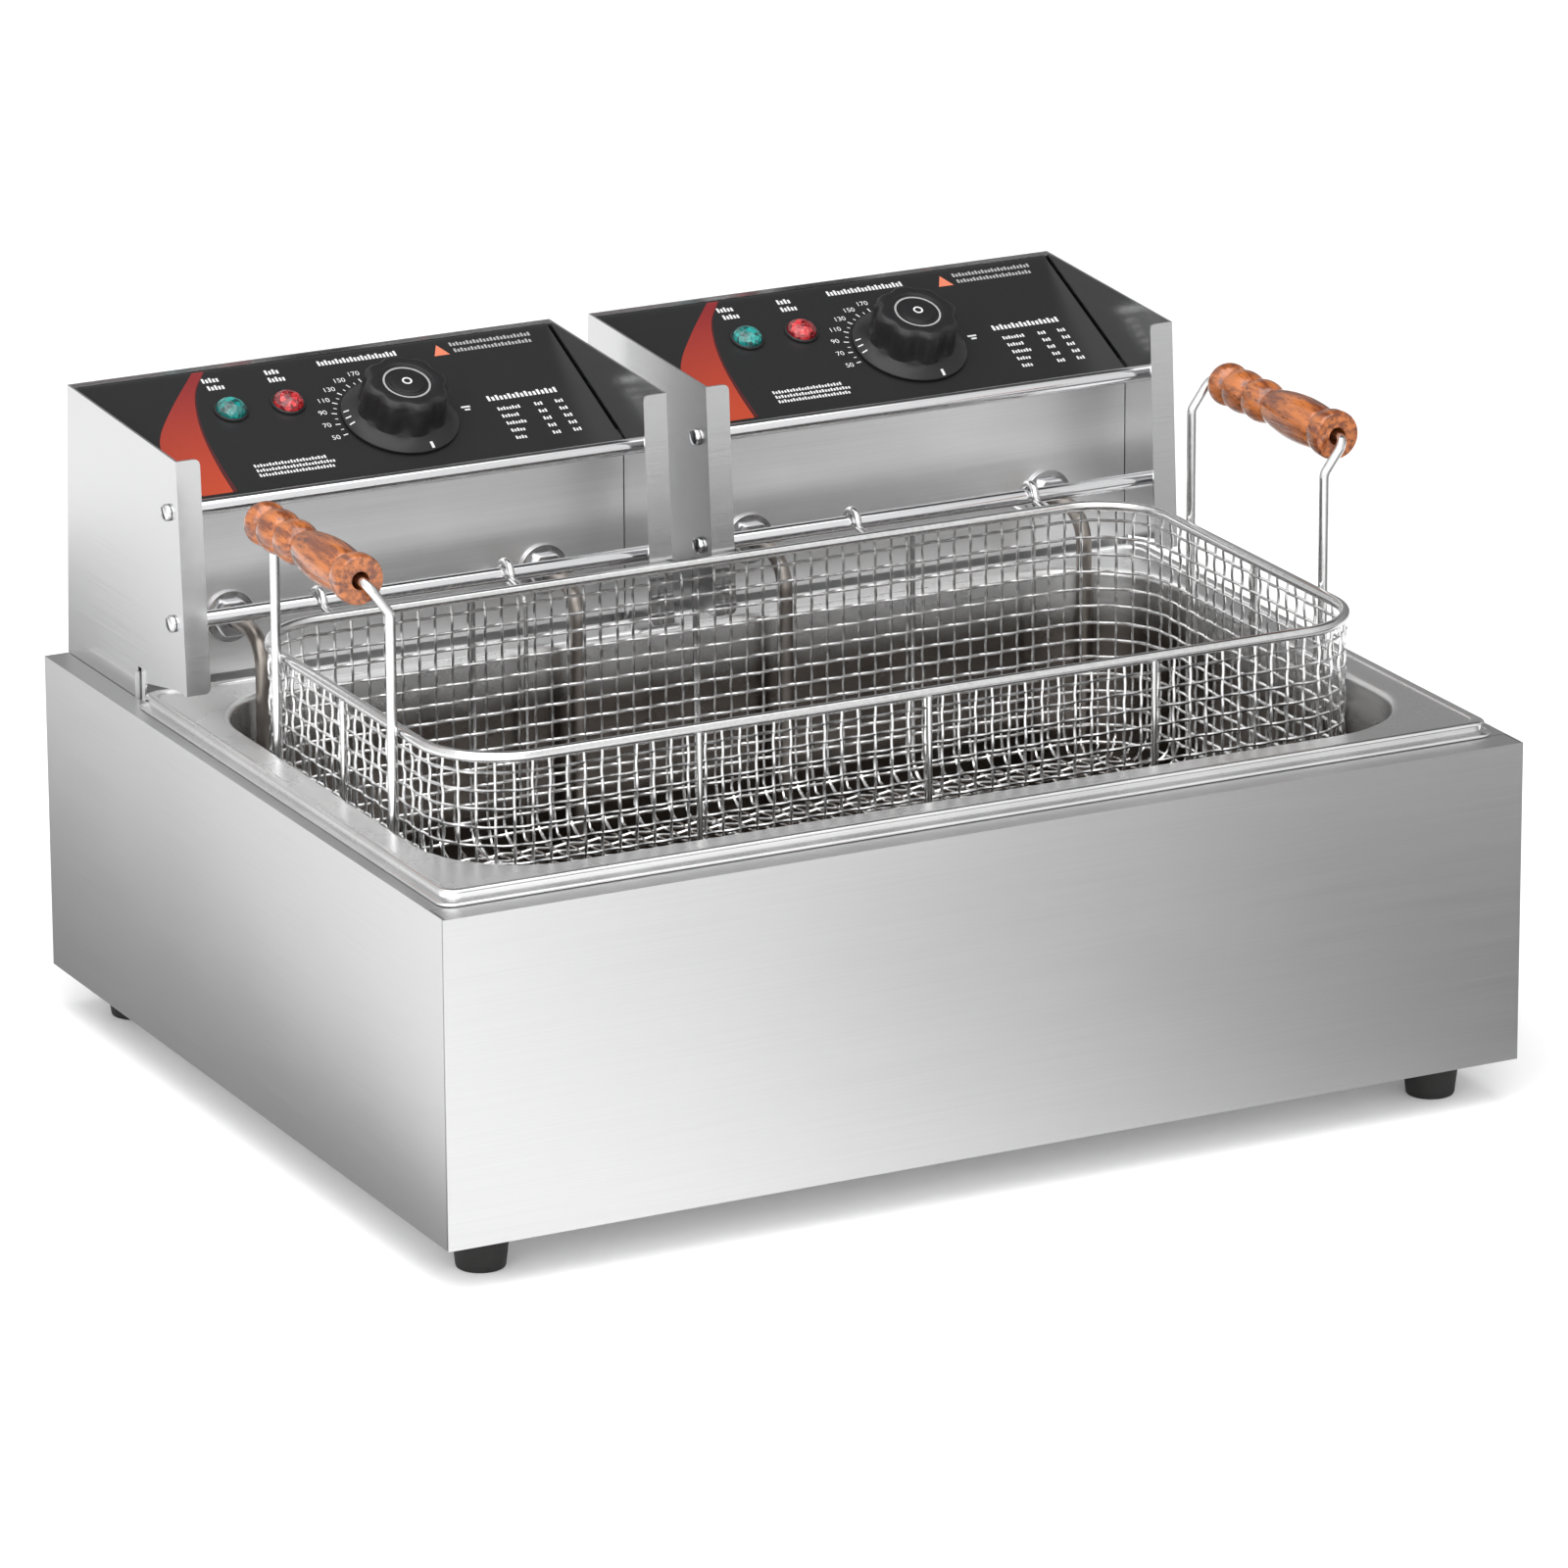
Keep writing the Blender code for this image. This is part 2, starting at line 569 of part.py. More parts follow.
def build_foot(name, frame, place):
    """A tapered rubber foot with its moulded-in stud, turned about its own upright axis."""
    bottom = -FOOT_HEIGHT
    profile = [
        (FOOT_RECESS_RADIUS, bottom + FOOT_RECESS_DEPTH),
        (FOOT_RECESS_RADIUS, bottom),
        (FOOT_BOTTOM_RADIUS - 0.001, bottom),
        (FOOT_BOTTOM_RADIUS, bottom + 0.001),
        (FOOT_TOP_RADIUS, -GAP - 0.001),
        (FOOT_TOP_RADIUS - 0.001, -GAP),
        (FOOT_STUD_RADIUS, -GAP),
        (FOOT_STUD_RADIUS, FOOT_STUD_LENGTH - GAP),
    ]
    make_object(name, turned(profile, 16), RUBBER, frame, place)


# ---- Tank ----
def tank_ring(inset, radius, z):
    return level_ring(RIM_HALF_WIDTH - inset, RIM_HALF_DEPTH - inset, radius, z, 6)


def wall_ring(grow, radius, z):
    return level_ring(TANK_HALF_WIDTH + grow, TANK_HALF_DEPTH + grow, radius, z, 6)


def tank_wall(skin):
    """Rings up one face of the wall, from the floor's round edge to the rim: skin 0 is the inner face."""
    rings = []
    for k in range(4):
        angle = math.radians(90 * k / 3)
        inward = TANK_DRAFT + TANK_FLOOR_RADIUS * (1 - math.sin(angle))
        rise = TANK_FLOOR_RADIUS * (1 - math.cos(angle))
        z = TANK_FLOOR_Z - skin + rise
        rings.append(wall_ring(skin - inward, TANK_CORNER_RADIUS + skin - inward, z))
    top = RIM_TOP_Z - RIM_DISH
    for k in range(3):
        angle = math.radians(90 * k / 2)
        outward = TANK_EDGE_RADIUS * (1 - math.cos(angle))
        drop = TANK_EDGE_RADIUS * (1 - math.sin(angle)) + skin
        rings.append(wall_ring(skin + outward, TANK_CORNER_RADIUS + skin + outward, top - drop))
    return rings


def build_tank(frame):
    """The inner face from floor to rim, over the raised bead, and back down the outer face."""
    bead_side = RIM_LIP_WIDTH + 0.0006
    crest = RIM_BEAD_WIDTH * 0.6
    dish_z = RIM_TOP_Z - RIM_DISH
    over = [
        tank_ring(RIM_BEAD_WIDTH, RIM_CORNER_RADIUS, dish_z),
        tank_ring(crest, RIM_CORNER_RADIUS, RIM_TOP_Z),
        tank_ring(bead_side + 0.0012, RIM_CORNER_RADIUS, RIM_TOP_Z - 0.0003),
        tank_ring(bead_side, RIM_CORNER_RADIUS, RIM_TOP_Z - 0.0014),
        tank_ring(RIM_LIP_WIDTH, RIM_CORNER_RADIUS, RIM_BASE_Z + RIM_LIP_HEIGHT),
        tank_ring(0, RIM_CORNER_RADIUS, RIM_BASE_Z + RIM_LIP_HEIGHT * 0.8),
        tank_ring(0, RIM_CORNER_RADIUS, RIM_BASE_Z),
        tank_ring(bead_side + TANK_SHEET, RIM_CORNER_RADIUS, RIM_BASE_Z),
        tank_ring(bead_side + TANK_SHEET + 0.0004, RIM_CORNER_RADIUS, dish_z - TANK_SHEET),
    ]
    rings = tank_wall(0) + over + list(reversed(tank_wall(TANK_SHEET)))
    make_object("tank", skin_rings(rings), TANK_STEEL, frame, (0, TANK_CENTRE_Y, 0))


# ---- Heating heads ----
def head_profile():
    """The side panel's outline as (y, z), front edge leaning back, with the step above the tank's rim."""
    step = FRONT_PLATE_Y - FRONT_PLATE_TO_RIM + 0.0015
    top_front_z = HEAD_TOP_Z - FLANGE_TOP_DROP
    bottom_front_z = HOUSING_HEIGHT + FLANGE_BOTTOM_RISE
    return [
        (HOUSING_DEPTH, HEAD_BASE_Z),
        (HOUSING_DEPTH - HEAD_BACK_RAKE, HEAD_TOP_Z),
        (FRONT_PLATE_Y - FLANGE_TOP_REACH, top_front_z),
        (FRONT_PLATE_Y - FLANGE_BOTTOM_REACH, bottom_front_z),
        (FRONT_PLATE_Y - FLANGE_BOTTOM_REACH + 0.012, bottom_front_z),
        (step, HOUSING_HEIGHT + SIDE_NOTCH_RISE),
        (step, HEAD_BASE_Z),
    ]


def flange_opening_outline():
    """The opening between the two front flanges as (x, z), flared at the flanges' round corners."""
    half = HEAD_HALF - FLANGE_WIDTH
    low = HOUSING_HEIGHT + FLANGE_BOTTOM_RISE
    high = HEAD_TOP_Z - FLANGE_TOP_DROP
    r = FLANGE_CORNER
    right = [(half + r, low - 0.02), (half + r, low)]
    right += arc_points((half + r, low + r), r, -90, -180, 3)[1:]
    right += arc_points((half + r, high - r), r, 180, 90, 3)
    right += [(half + r, high + 0.02)]
    left = [(-x, z) for x, z in reversed(right)]
    return right + left


def build_head_shell(prefix, frame):
    """Two side panels, the back and the two narrow front flanges, folded from one sheet."""
    profile = head_profile()
    solid = prism(profile, "X", -HEAD_HALF, HEAD_HALF)
    shell = make_object(f"{prefix}_head_shell", solid, STEEL, frame)
    flange_height = HEAD_TOP_Z - FLANGE_TOP_DROP - HOUSING_HEIGHT - FLANGE_BOTTOM_RISE
    lean = (FLANGE_BOTTOM_REACH - FLANGE_TOP_REACH) / flange_height
    front_y = FRONT_PLATE_Y - FLANGE_BOTTOM_REACH + HEAD_SHEET
    base_z = HOUSING_HEIGHT + FLANGE_BOTTOM_RISE
    far = 0.05
    front_low = front_y - lean * far
    front_high = front_y + lean * (HEAD_TOP_Z + far - base_z)
    slope = math.tan(BACK_RAKE_ANGLE)
    back_low = HOUSING_DEPTH - HEAD_SHEET + slope * (HEAD_BASE_Z - base_z + far)
    back_high = HOUSING_DEPTH - HEAD_SHEET - slope * (HEAD_HEIGHT + far)
    hollow = [
        (front_low, base_z - far),
        (back_low, base_z - far),
        (back_high, HEAD_TOP_Z + far),
        (front_high, HEAD_TOP_Z + far),
    ]
    hollow = prism(hollow, "X", -HEAD_INNER_HALF, HEAD_INNER_HALF)
    cut(shell, make_object(f"{prefix}_shell_hollow", hollow, None, frame))
    window = prism(flange_opening_outline(), "Y", FRONT_PLATE_Y - 0.08, FRONT_PLATE_Y - 0.02)
    cut(shell, make_object(f"{prefix}_shell_window", window, None, frame))
    slot_low = (-HEAD_HALF - 0.01, UPSTAND_Y - SLOT_WIDTH / 2, HEAD_BASE_Z - 0.01)
    slot_high = (HEAD_HALF + 0.01, UPSTAND_Y + SLOT_WIDTH / 2, HOUSING_HEIGHT + SLOT_HEIGHT)
    cut(shell, make_object(f"{prefix}_shell_slot", box(slot_low, slot_high), None, frame))
    for place_name, y, z in (("upper", UPPER_ROD_Y, UPPER_ROD_Z), ("lower", RAIL_Y, RAIL_Z)):
        drill = rod((-HEAD_HALF - 0.01, y, z), (HEAD_HALF + 0.01, y, z), SCREW_HOLE_RADIUS, 10)
        cut(shell, make_object(f"{prefix}_shell_drill_{place_name}", drill, None, frame))
    back_corner = (0, HOUSING_DEPTH, HEAD_BASE_Z)
    back_frame = make_frame(f"{prefix}_back_frame", back_corner, (BACK_RAKE_ANGLE, 0, 0), frame)
    for hole_name, place, radius in (
        ("cutout", CUTOUT_PLACE, CUTOUT_BUSH_RADIUS),
        ("gland", GLAND_PLACE, GLAND_RADIUS * 0.7),
    ):
        start = (place[0], -0.02, place[1])
        end = (place[0], 0.02, place[1])
        hole = rod(start, end, radius + GAP, 16)
        cut(shell, make_object(f"{prefix}_shell_{hole_name}_hole", hole, None, back_frame))
    return back_frame


def build_head_base(prefix, frame):
    """The flat bottom of the box, behind the cross wall."""
    half = HEAD_INNER_HALF - GAP
    front = UPSTAND_Y + SLOT_WIDTH / 2 + GAP
    low = (-half, front, HEAD_BASE_Z)
    high = (half, HOUSING_DEPTH - HEAD_SHEET - GAP - 0.0002, HEAD_BASE_Z + HEAD_SHEET)
    make_object(f"{prefix}_head_base", box(low, high), STEEL, frame)


def build_front_plate(prefix, frame):
    """The upright plate behind the rods, folded back at the top to carry the fascia's front edge."""
    half = HEAD_INNER_HALF - GAP
    low_z = RIM_TOP_Z + 0.0015
    high_z = HOUSING_HEIGHT + HEAD_HEIGHT - FASCIA_FRONT_DROP - FASCIA_THICKNESS * 1.6
    fold = 0.010
    rise = fold * math.tan(FASCIA_SLOPE)
    y = FRONT_PLATE_Y
    outline = [
        (y, low_z),
        (y + HEAD_SHEET, low_z),
        (y + HEAD_SHEET, high_z - HEAD_SHEET),
        (y + fold, high_z - HEAD_SHEET + rise - 0.0006),
        (y + fold, high_z + rise - 0.0006),
        (y, high_z),
    ]
    plate = make_object(f"{prefix}_front_plate", prism(outline, "X", -half, half), STEEL, frame)
    places = [(-ELEMENT_SPREAD, ELEMENT_RADIUS), (ELEMENT_SPREAD, ELEMENT_RADIUS)]
    places.append((CAPILLARY_PLACE, CAPILLARY_RADIUS))
    for number, (x, radius) in enumerate(places, 1):
        start, end = (x, y - 0.01, ELEMENT_EXIT_Z), (x, y + 0.01, ELEMENT_EXIT_Z)
        hole = rod(start, end, radius + ELEMENT_HOLE_CLEARANCE, 14)
        cut(plate, make_object(f"{prefix}_front_plate_drill_{number}", hole, None, frame))


def build_fascia(prefix, frame):
    """The sloping control plate in its own frame: X sideways, Y up the slope, Z out of the face."""
    fascia_frame = make_frame(f"{prefix}_fascia_frame", FASCIA_FRONT, (FASCIA_SLOPE, 0, 0), frame)
    half = HEAD_INNER_HALF - FASCIA_SIDE_GAP
    cosine, sine = math.cos(FASCIA_SLOPE), math.sin(FASCIA_SLOPE)

    def upright(y, z):
        """An offset from the front edge, level and upright, in the sloping frame."""
        return (y * cosine + z * sine, z * cosine - y * sine)

    thick = FASCIA_THICKNESS
    outline = [
        upright(-thick, -FASCIA_EDGE),
        upright(-thick, -FASCIA_LIP),
        upright(0, -FASCIA_LIP),
        (-thick * sine / cosine, -thick),
        (FASCIA_LENGTH, -thick),
        (FASCIA_LENGTH, 0),
        (-thick / cosine + FASCIA_EDGE, 0),
    ]
    plate = make_object(f"{prefix}_fascia", prism(outline, "X", -half, half), BLACK_PAINT, fascia_frame)
    holes = (
        ("shaft", KNOB_PLACE, SHAFT_RADIUS + SHAFT_CLEARANCE),
        ("power", POWER_LAMP_PLACE, LAMP_BODY_RADIUS + GAP),
        ("heat", HEAT_LAMP_PLACE, LAMP_BODY_RADIUS + GAP),
    )
    for hole_name, (x, y), radius in holes:
        drill = rod((x, y, -0.01), (x, y, 0.01), radius, 14)
        cut(plate, make_object(f"{prefix}_fascia_drill_{hole_name}", drill, None, fascia_frame))
    return fascia_frame


def build_rods(prefix, frame):
    """The lifting rod and the basket rail, each held by a screw through either side panel."""
    half = HEAD_INNER_HALF - GAP
    bore = SCREW_RADIUS + SCREW_CLEARANCE
    for name, y, z in (("upper_rod", UPPER_ROD_Y, UPPER_ROD_Z), ("basket_rail", RAIL_Y, RAIL_Z)):
        profile = [
            (bore, -half + ROD_BORE_DEPTH),
            (bore, -half),
            (ROD_RADIUS - ROD_END_CHAMFER, -half),
            (ROD_RADIUS, -half + ROD_END_CHAMFER),
            (ROD_RADIUS, half - ROD_END_CHAMFER),
            (ROD_RADIUS - ROD_END_CHAMFER, half),
            (bore, half),
            (bore, half - ROD_BORE_DEPTH),
        ]
        make_object(f"{prefix}_{name}", turned(profile, 12, X_AXIS), POLISHED, frame, (0, y, z))
        for side, sign in (("left", -1), ("right", 1)):
            place = (sign * (HEAD_HALF + GAP), y, z)
            make_screw(f"{prefix}_{name}_screw_{side}", frame, place, (-sign, 0, 0))


def knob_ring(radius, lobe_depth, z):
    """A ring whose radius dips between the lobes: R - depth * (1 - cos(lobes * angle)) / 2."""
    sides = KNOB_LOBES * 4
    ring = []
    for i in range(sides):
        angle = 2 * math.pi * i / sides
        r = radius - lobe_depth * (1 - math.cos(KNOB_LOBES * angle)) / 2
        ring.append(Vector((r * math.cos(angle), r * math.sin(angle), z)))
    return ring


def build_knob(prefix, fascia_frame):
    """Skirt and lobed grip, hollow below for the shaft, about the shaft's axis."""
    dial_frame = make_frame(f"{prefix}_dial_frame", (*KNOB_PLACE, 0), (0, 0, 0), fascia_frame)
    bore = SHAFT_RADIUS + SHAFT_CLEARANCE
    base = KNOB_LIFT
    grip = KNOB_GRIP_RADIUS
    top = KNOB_LIFT + KNOB_HEIGHT
    rings = [
        knob_ring(bore, 0, base + KNOB_BORE_DEPTH),
        knob_ring(bore, 0, base),
        knob_ring(KNOB_SKIRT_RADIUS, 0, base),
        knob_ring(KNOB_SKIRT_RADIUS, 0, base + 0.0012),
        knob_ring(grip + 0.0025, 0, base + KNOB_SKIRT_HEIGHT),
        knob_ring(grip + 0.0008, KNOB_LOBE_DEPTH, base + KNOB_SKIRT_HEIGHT + 0.0006),
        knob_ring(grip, KNOB_LOBE_DEPTH, top - 0.0018),
        knob_ring(grip - 0.0016, KNOB_LOBE_DEPTH * 0.8, top),
    ]
    make_object(f"{prefix}_knob", skin_rings(rings), BLACK_PLASTIC, dial_frame)
    shaft = rod((0, 0, -SHAFT_INNER_LENGTH), (0, 0, KNOB_LIFT + KNOB_BORE_DEPTH - GAP), SHAFT_RADIUS, 12)
    make_object(f"{prefix}_dial_shaft", shaft, POLISHED, dial_frame)


def build_lamps(prefix, fascia_frame):
    for name, place, material in (
        ("power_lamp", POWER_LAMP_PLACE, GREEN),
        ("heat_lamp", HEAT_LAMP_PLACE, RED),
    ):
        profile = [
            (LAMP_BODY_RADIUS - 0.001, -LAMP_BODY_LENGTH),
            (LAMP_BODY_RADIUS, -LAMP_BODY_LENGTH + 0.001),
            (LAMP_BODY_RADIUS, GAP),
            (LAMP_FLANGE_RADIUS, GAP),
            (LAMP_FLANGE_RADIUS, GAP + LAMP_FLANGE_HEIGHT),
            (LAMP_FLANGE_RADIUS * 0.82, LAMP_FLANGE_HEIGHT + LAMP_DOME_HEIGHT * 0.45),
            (LAMP_FLANGE_RADIUS * 0.42, LAMP_FLANGE_HEIGHT + LAMP_DOME_HEIGHT),
        ]
        make_object(f"{prefix}_{name}", turned(profile, 14), material, fascia_frame, (*place, 0))


def build_thermostat(prefix, frame, fascia_frame):
    """Switch box under the dial, and the capillary tube and bulb that are sealed to it."""
    top = -FASCIA_THICKNESS - GAP
    half = THERMOSTAT_WIDTH / 2
    x, y = KNOB_PLACE
    low = (x - half, y - half, top - THERMOSTAT_DEPTH)
    high = (x + half, y + half, top)
    body = make_object(f"{prefix}_thermostat", box(low, high), STEEL, fascia_frame)
    socket = rod((x, y, top - 0.012), (x, y, 0.01), SHAFT_RADIUS + SHAFT_CLEARANCE, 14)
    cut(body, make_object(f"{prefix}_thermostat_socket", socket, None, fascia_frame))
    centre_depth = top - THERMOSTAT_DEPTH + 0.004
    tilt = Matrix.Rotation(FASCIA_SLOPE, 3, "X")
    start = FASCIA_FRONT + tilt @ Vector((CAPILLARY_PLACE - 0.024, y, centre_depth))
    down_y = FRONT_PLATE_Y - CAPILLARY_REACH
    bulb_z = ELEMENT_FLOOR_Z + BULB_ABOVE_ELEMENT
    points = [
        start,
        Vector((CAPILLARY_PLACE, start.y, start.z)),
        Vector((CAPILLARY_PLACE, start.y, ELEMENT_EXIT_Z)),
        Vector((CAPILLARY_PLACE, down_y, ELEMENT_EXIT_Z)),
        Vector((CAPILLARY_PLACE, down_y, bulb_z)),
        Vector((CAPILLARY_PLACE - 0.020, down_y, bulb_z)),
    ]
    capillary = tube(rounded_path(points, 0.007, 3), CAPILLARY_RADIUS, 6)
    join(body, make_object(f"{prefix}_capillary", capillary, None, frame))
    near = CAPILLARY_PLACE - 0.018
    bulb = [
        (CAPILLARY_RADIUS * 0.6, 0),
        (BULB_RADIUS, 0.003),
        (BULB_RADIUS, BULB_LENGTH - 0.002),
        (BULB_RADIUS * 0.5, BULB_LENGTH),
    ]
    join(body, make_object(f"{prefix}_bulb", turned(bulb, 8, -X_AXIS), None, frame, (near, down_y, bulb_z)))


def element_points():
    """The element's corners: through the plate, down the tank's back, to and fro over its floor."""
    z = ELEMENT_FLOOR_Z
    tail_y = FRONT_PLATE_Y + ELEMENT_TAIL
    xs = [-ELEMENT_SPREAD + ELEMENT_PITCH * k for k in range(ELEMENT_RUNS)]
    points = [
        (xs[0], tail_y, ELEMENT_EXIT_Z),
        (xs[0], ELEMENT_DROP_Y, ELEMENT_EXIT_Z),
        (xs[0], ELEMENT_DROP_Y, z),
    ]
    for k in range(ELEMENT_RUNS - 1):
        end_y = ELEMENT_BACK_Y if k % 2 else ELEMENT_FRONT_Y
        points += [(xs[k], end_y, z), (xs[k + 1], end_y, z)]
    points += [
        (xs[-1], ELEMENT_DROP_Y, z),
        (xs[-1], ELEMENT_DROP_Y, ELEMENT_EXIT_Z),
        (xs[-1], tail_y, ELEMENT_EXIT_Z),
    ]
    return points


def build_element(prefix, frame):
    bend = min(ELEMENT_BEND, ELEMENT_PITCH / 2 - 0.0002)
    path = rounded_path(element_points(), bend, 4)
    make_object(f"{prefix}_heating_element", tube(path, ELEMENT_RADIUS, 8), ELEMENT_STEEL, frame)
    bore = ELEMENT_RADIUS + GAP
    for side, sign in (("left", -1), ("right", 1)):
        axis = -Y_AXIS
        rings = [
            circle_ring(axis * 0, axis, bore, 12),
            circle_ring(axis * 0, axis, NUT_FLANGE_RADIUS, 12),
            circle_ring(axis * NUT_FLANGE_HEIGHT, axis, NUT_FLANGE_RADIUS, 12),
            circle_ring(axis * NUT_FLANGE_HEIGHT, axis, NUT_HEX_RADIUS, 12),
            circle_ring(axis * NUT_HEIGHT, axis, NUT_HEX_RADIUS, 12),
            circle_ring(axis * NUT_HEIGHT, axis, bore, 12),
        ]
        place = (sign * ELEMENT_SPREAD, FRONT_PLATE_Y - GAP, ELEMENT_EXIT_Z)
        make_object(f"{prefix}_element_nut_{side}", skin_rings(rings, loop=True), POLISHED, frame, place)


def build_back_fittings(prefix, back_frame):
    """Cut-out with its reset button, and the cable gland, square to the leaning back wall."""
    inside = -HEAD_SHEET - GAP
    bore = RESET_RADIUS + RESET_CLEARANCE
    floor = CUTOUT_BUSH_REACH - RESET_TRAVEL_ROOM - 0.004
    profile = [
        (bore, floor),
        (bore, CUTOUT_BUSH_REACH),
        (CUTOUT_BUSH_RADIUS, CUTOUT_BUSH_REACH),
        (CUTOUT_BUSH_RADIUS, inside),
        (CUTOUT_RADIUS, inside),
        (CUTOUT_RADIUS, inside - CUTOUT_DEPTH),
    ]
    place = (CUTOUT_PLACE[0], 0, CUTOUT_PLACE[1])
    make_object(f"{prefix}_cutout", turned(profile, 12, Y_AXIS), BLACK_PLASTIC, back_frame, place)
    button = [
        (RESET_RADIUS, floor + RESET_TRAVEL_ROOM - 0.001),
        (RESET_RADIUS, CUTOUT_BUSH_REACH + RESET_PROUD - 0.0008),
        (RESET_RADIUS * 0.7, CUTOUT_BUSH_REACH + RESET_PROUD),
    ]
    make_object(f"{prefix}_reset_button", turned(button, 12, Y_AXIS), RED, back_frame, place)
    neck = GLAND_RADIUS * 0.7
    gland = [
        (GLAND_BORE_RADIUS, inside - GLAND_INNER),
        (neck, inside - GLAND_INNER),
        (neck, GAP),
        (GLAND_RADIUS, GAP),
        (GLAND_RADIUS, GLAND_REACH * 0.55),
        (GLAND_NOSE_RADIUS, GLAND_REACH),
        (GLAND_BORE_RADIUS, GLAND_REACH),
    ]
    place = (GLAND_PLACE[0], 0, GLAND_PLACE[1])
    gland = turned(gland, 14, Y_AXIS, loop=True)
    make_object(f"{prefix}_cable_gland", gland, BLACK_PLASTIC, back_frame, place)


def build_head(prefix, frame):
    back_frame = build_head_shell(prefix, frame)
    build_head_base(prefix, frame)
    build_front_plate(prefix, frame)
    fascia_frame = build_fascia(prefix, frame)
    build_rods(prefix, frame)
    build_knob(prefix, fascia_frame)
    build_lamps(prefix, fascia_frame)
    build_thermostat(prefix, frame, fascia_frame)
    build_element(prefix, frame)
    build_back_fittings(prefix, back_frame)


# ---- Basket ----
def basket_ring(grow, z):
    half_width = BASKET_HALF_WIDTH + grow
    half_depth = BASKET_HALF_DEPTH + grow
    return level_ring(half_width, half_depth, BASKET_CORNER_RADIUS + grow, z, 5)


def basket_side(skin):
    """Rings up one face of the wire-cloth bucket, from its round bottom edge."""
    radius = BASKET_FLOOR_RADIUS + skin
    rings = []
    for k in range(4):
        angle = math.radians(90 * k / 3)
        grow = radius * math.sin(angle) - BASKET_FLOOR_RADIUS
        rings.append(basket_ring(grow, BASKET_FLOOR_Z + BASKET_FLOOR_RADIUS - radius * math.cos(angle)))
    rings.append(basket_ring(skin, BASKET_RIM_Z - BASKET_RIM_RADIUS - GAP))
    return rings


def build_basket_mesh(frame):
    half = MESH_THICKNESS / 2
    rings = basket_side(-half) + list(reversed(basket_side(half)))
    make_object("basket_mesh", skin_rings(rings), POLISHED, frame)


def rib_path(half_span, along, across):
    """A support wire down one wall, under the floor and up the other, offset outside the wire cloth."""
    reach = half_span + RIB_OFFSET
    under = BASKET_FLOOR_Z - RIB_OFFSET
    top = BASKET_RIM_Z - BASKET_RIM_RADIUS * 0.3
    shape = [(-reach, top), (-reach, under), (reach, under), (reach, top)]
    points = [along * s + across + Z_AXIS * z for s, z in shape]
    return rounded_path(points, BASKET_FLOOR_RADIUS + RIB_OFFSET, 6)


def build_basket_frame(frame):
    """Rim, ribs and hooks, welded into one piece."""
    loop = rounded_rectangle(BASKET_HALF_WIDTH, BASKET_HALF_DEPTH, BASKET_CORNER_RADIUS, 6)
    path = [Vector((x, y, BASKET_RIM_Z)) for x, y in loop]
    rim = make_object("basket_frame", tube(path, BASKET_RIM_RADIUS, 8, loop=True), POLISHED, frame)
    for number, x in enumerate((-RIB_SPACING, 0, RIB_SPACING), 1):
        path = rib_path(BASKET_HALF_DEPTH, Y_AXIS, X_AXIS * x)
        join(rim, make_object(f"rib_tool_{number}", tube(path, RIB_RADIUS, 6), None, frame))
    path = rib_path(BASKET_HALF_WIDTH, X_AXIS, Y_AXIS * 0)
    join(rim, make_object("rib_tool_long", tube(path, RIB_RADIUS * 1.05, 6), None, frame))
    bend = ROD_RADIUS + HOOK_RADIUS + HOOK_CLEARANCE
    rail_y = RAIL_Y - BASKET_CENTRE_Y
    arc = arc_points((rail_y, RAIL_Z), bend, HOOK_START_ANGLE, 0, 6)
    points = [(BASKET_HALF_DEPTH, BASKET_RIM_Z), *arc, (rail_y + bend, RAIL_Z - HOOK_TAIL)]
    places = [-x for x in HOOK_PLACES] + list(HOOK_PLACES)
    for number, x in enumerate(places, 1):
        path = [Vector((x, y, z)) for y, z in points]
        join(rim, make_object(f"hook_tool_{number}", tube(path, HOOK_RADIUS, 6), None, frame))


def grip_profile():
    """The turned handle from its flat front end to its ball end: rounded rings with grooves between."""
    length = GRIP_LENGTH
    shape = (
        (0.000, 0.90),
        (0.015, 1.00),
        (0.040, 0.99),
        (0.110, 0.80),
        (0.260, 0.97),
        (0.410, 0.85),
        (0.490, 0.93),
        (0.570, 0.83),
        (0.690, 0.93),
        (0.800, 0.78),
        (0.860, 0.92),
        (0.915, 0.98),
        (0.965, 0.86),
        (1.000, 0.52),
    )
    return [(GRIP_RADIUS * share, length * along) for along, share in shape]


def build_handles(frame):
    for side, sign in (("left", -1), ("right", 1)):
        front = HANDLE_SHIFT - HANDLE_SPAN / 2
        back = HANDLE_SHIFT + HANDLE_SPAN / 2
        low = BASKET_RIM_Z - HANDLE_LEG_DROP
        leg_x = sign * HANDLE_X
        grip_x = sign * GRIP_X
        points = [
            (leg_x, front, low),
            (leg_x, front, HANDLE_BEND_Z),
            (grip_x, front, GRIP_Z),
            (grip_x, back, GRIP_Z),
            (leg_x, back, HANDLE_BEND_Z),
            (leg_x, back, low),
        ]
        path = rounded_path(points, HANDLE_BEND, 4)
        make_object(f"{side}_handle_wire", tube(path, HANDLE_WIRE_RADIUS, 8), POLISHED, frame)
        bore = HANDLE_WIRE_RADIUS + GRIP_BORE_CLEARANCE
        profile = [(bore, 0), *grip_profile(), (bore, GRIP_LENGTH)]
        place = (grip_x, HANDLE_SHIFT - GRIP_LENGTH / 2, GRIP_Z)
        make_object(f"{side}_grip", turned(profile, 14, Y_AXIS, loop=True), WOOD, frame, place)


def build_basket(frame):
    build_basket_mesh(frame)
    build_basket_frame(frame)
    build_handles(frame)


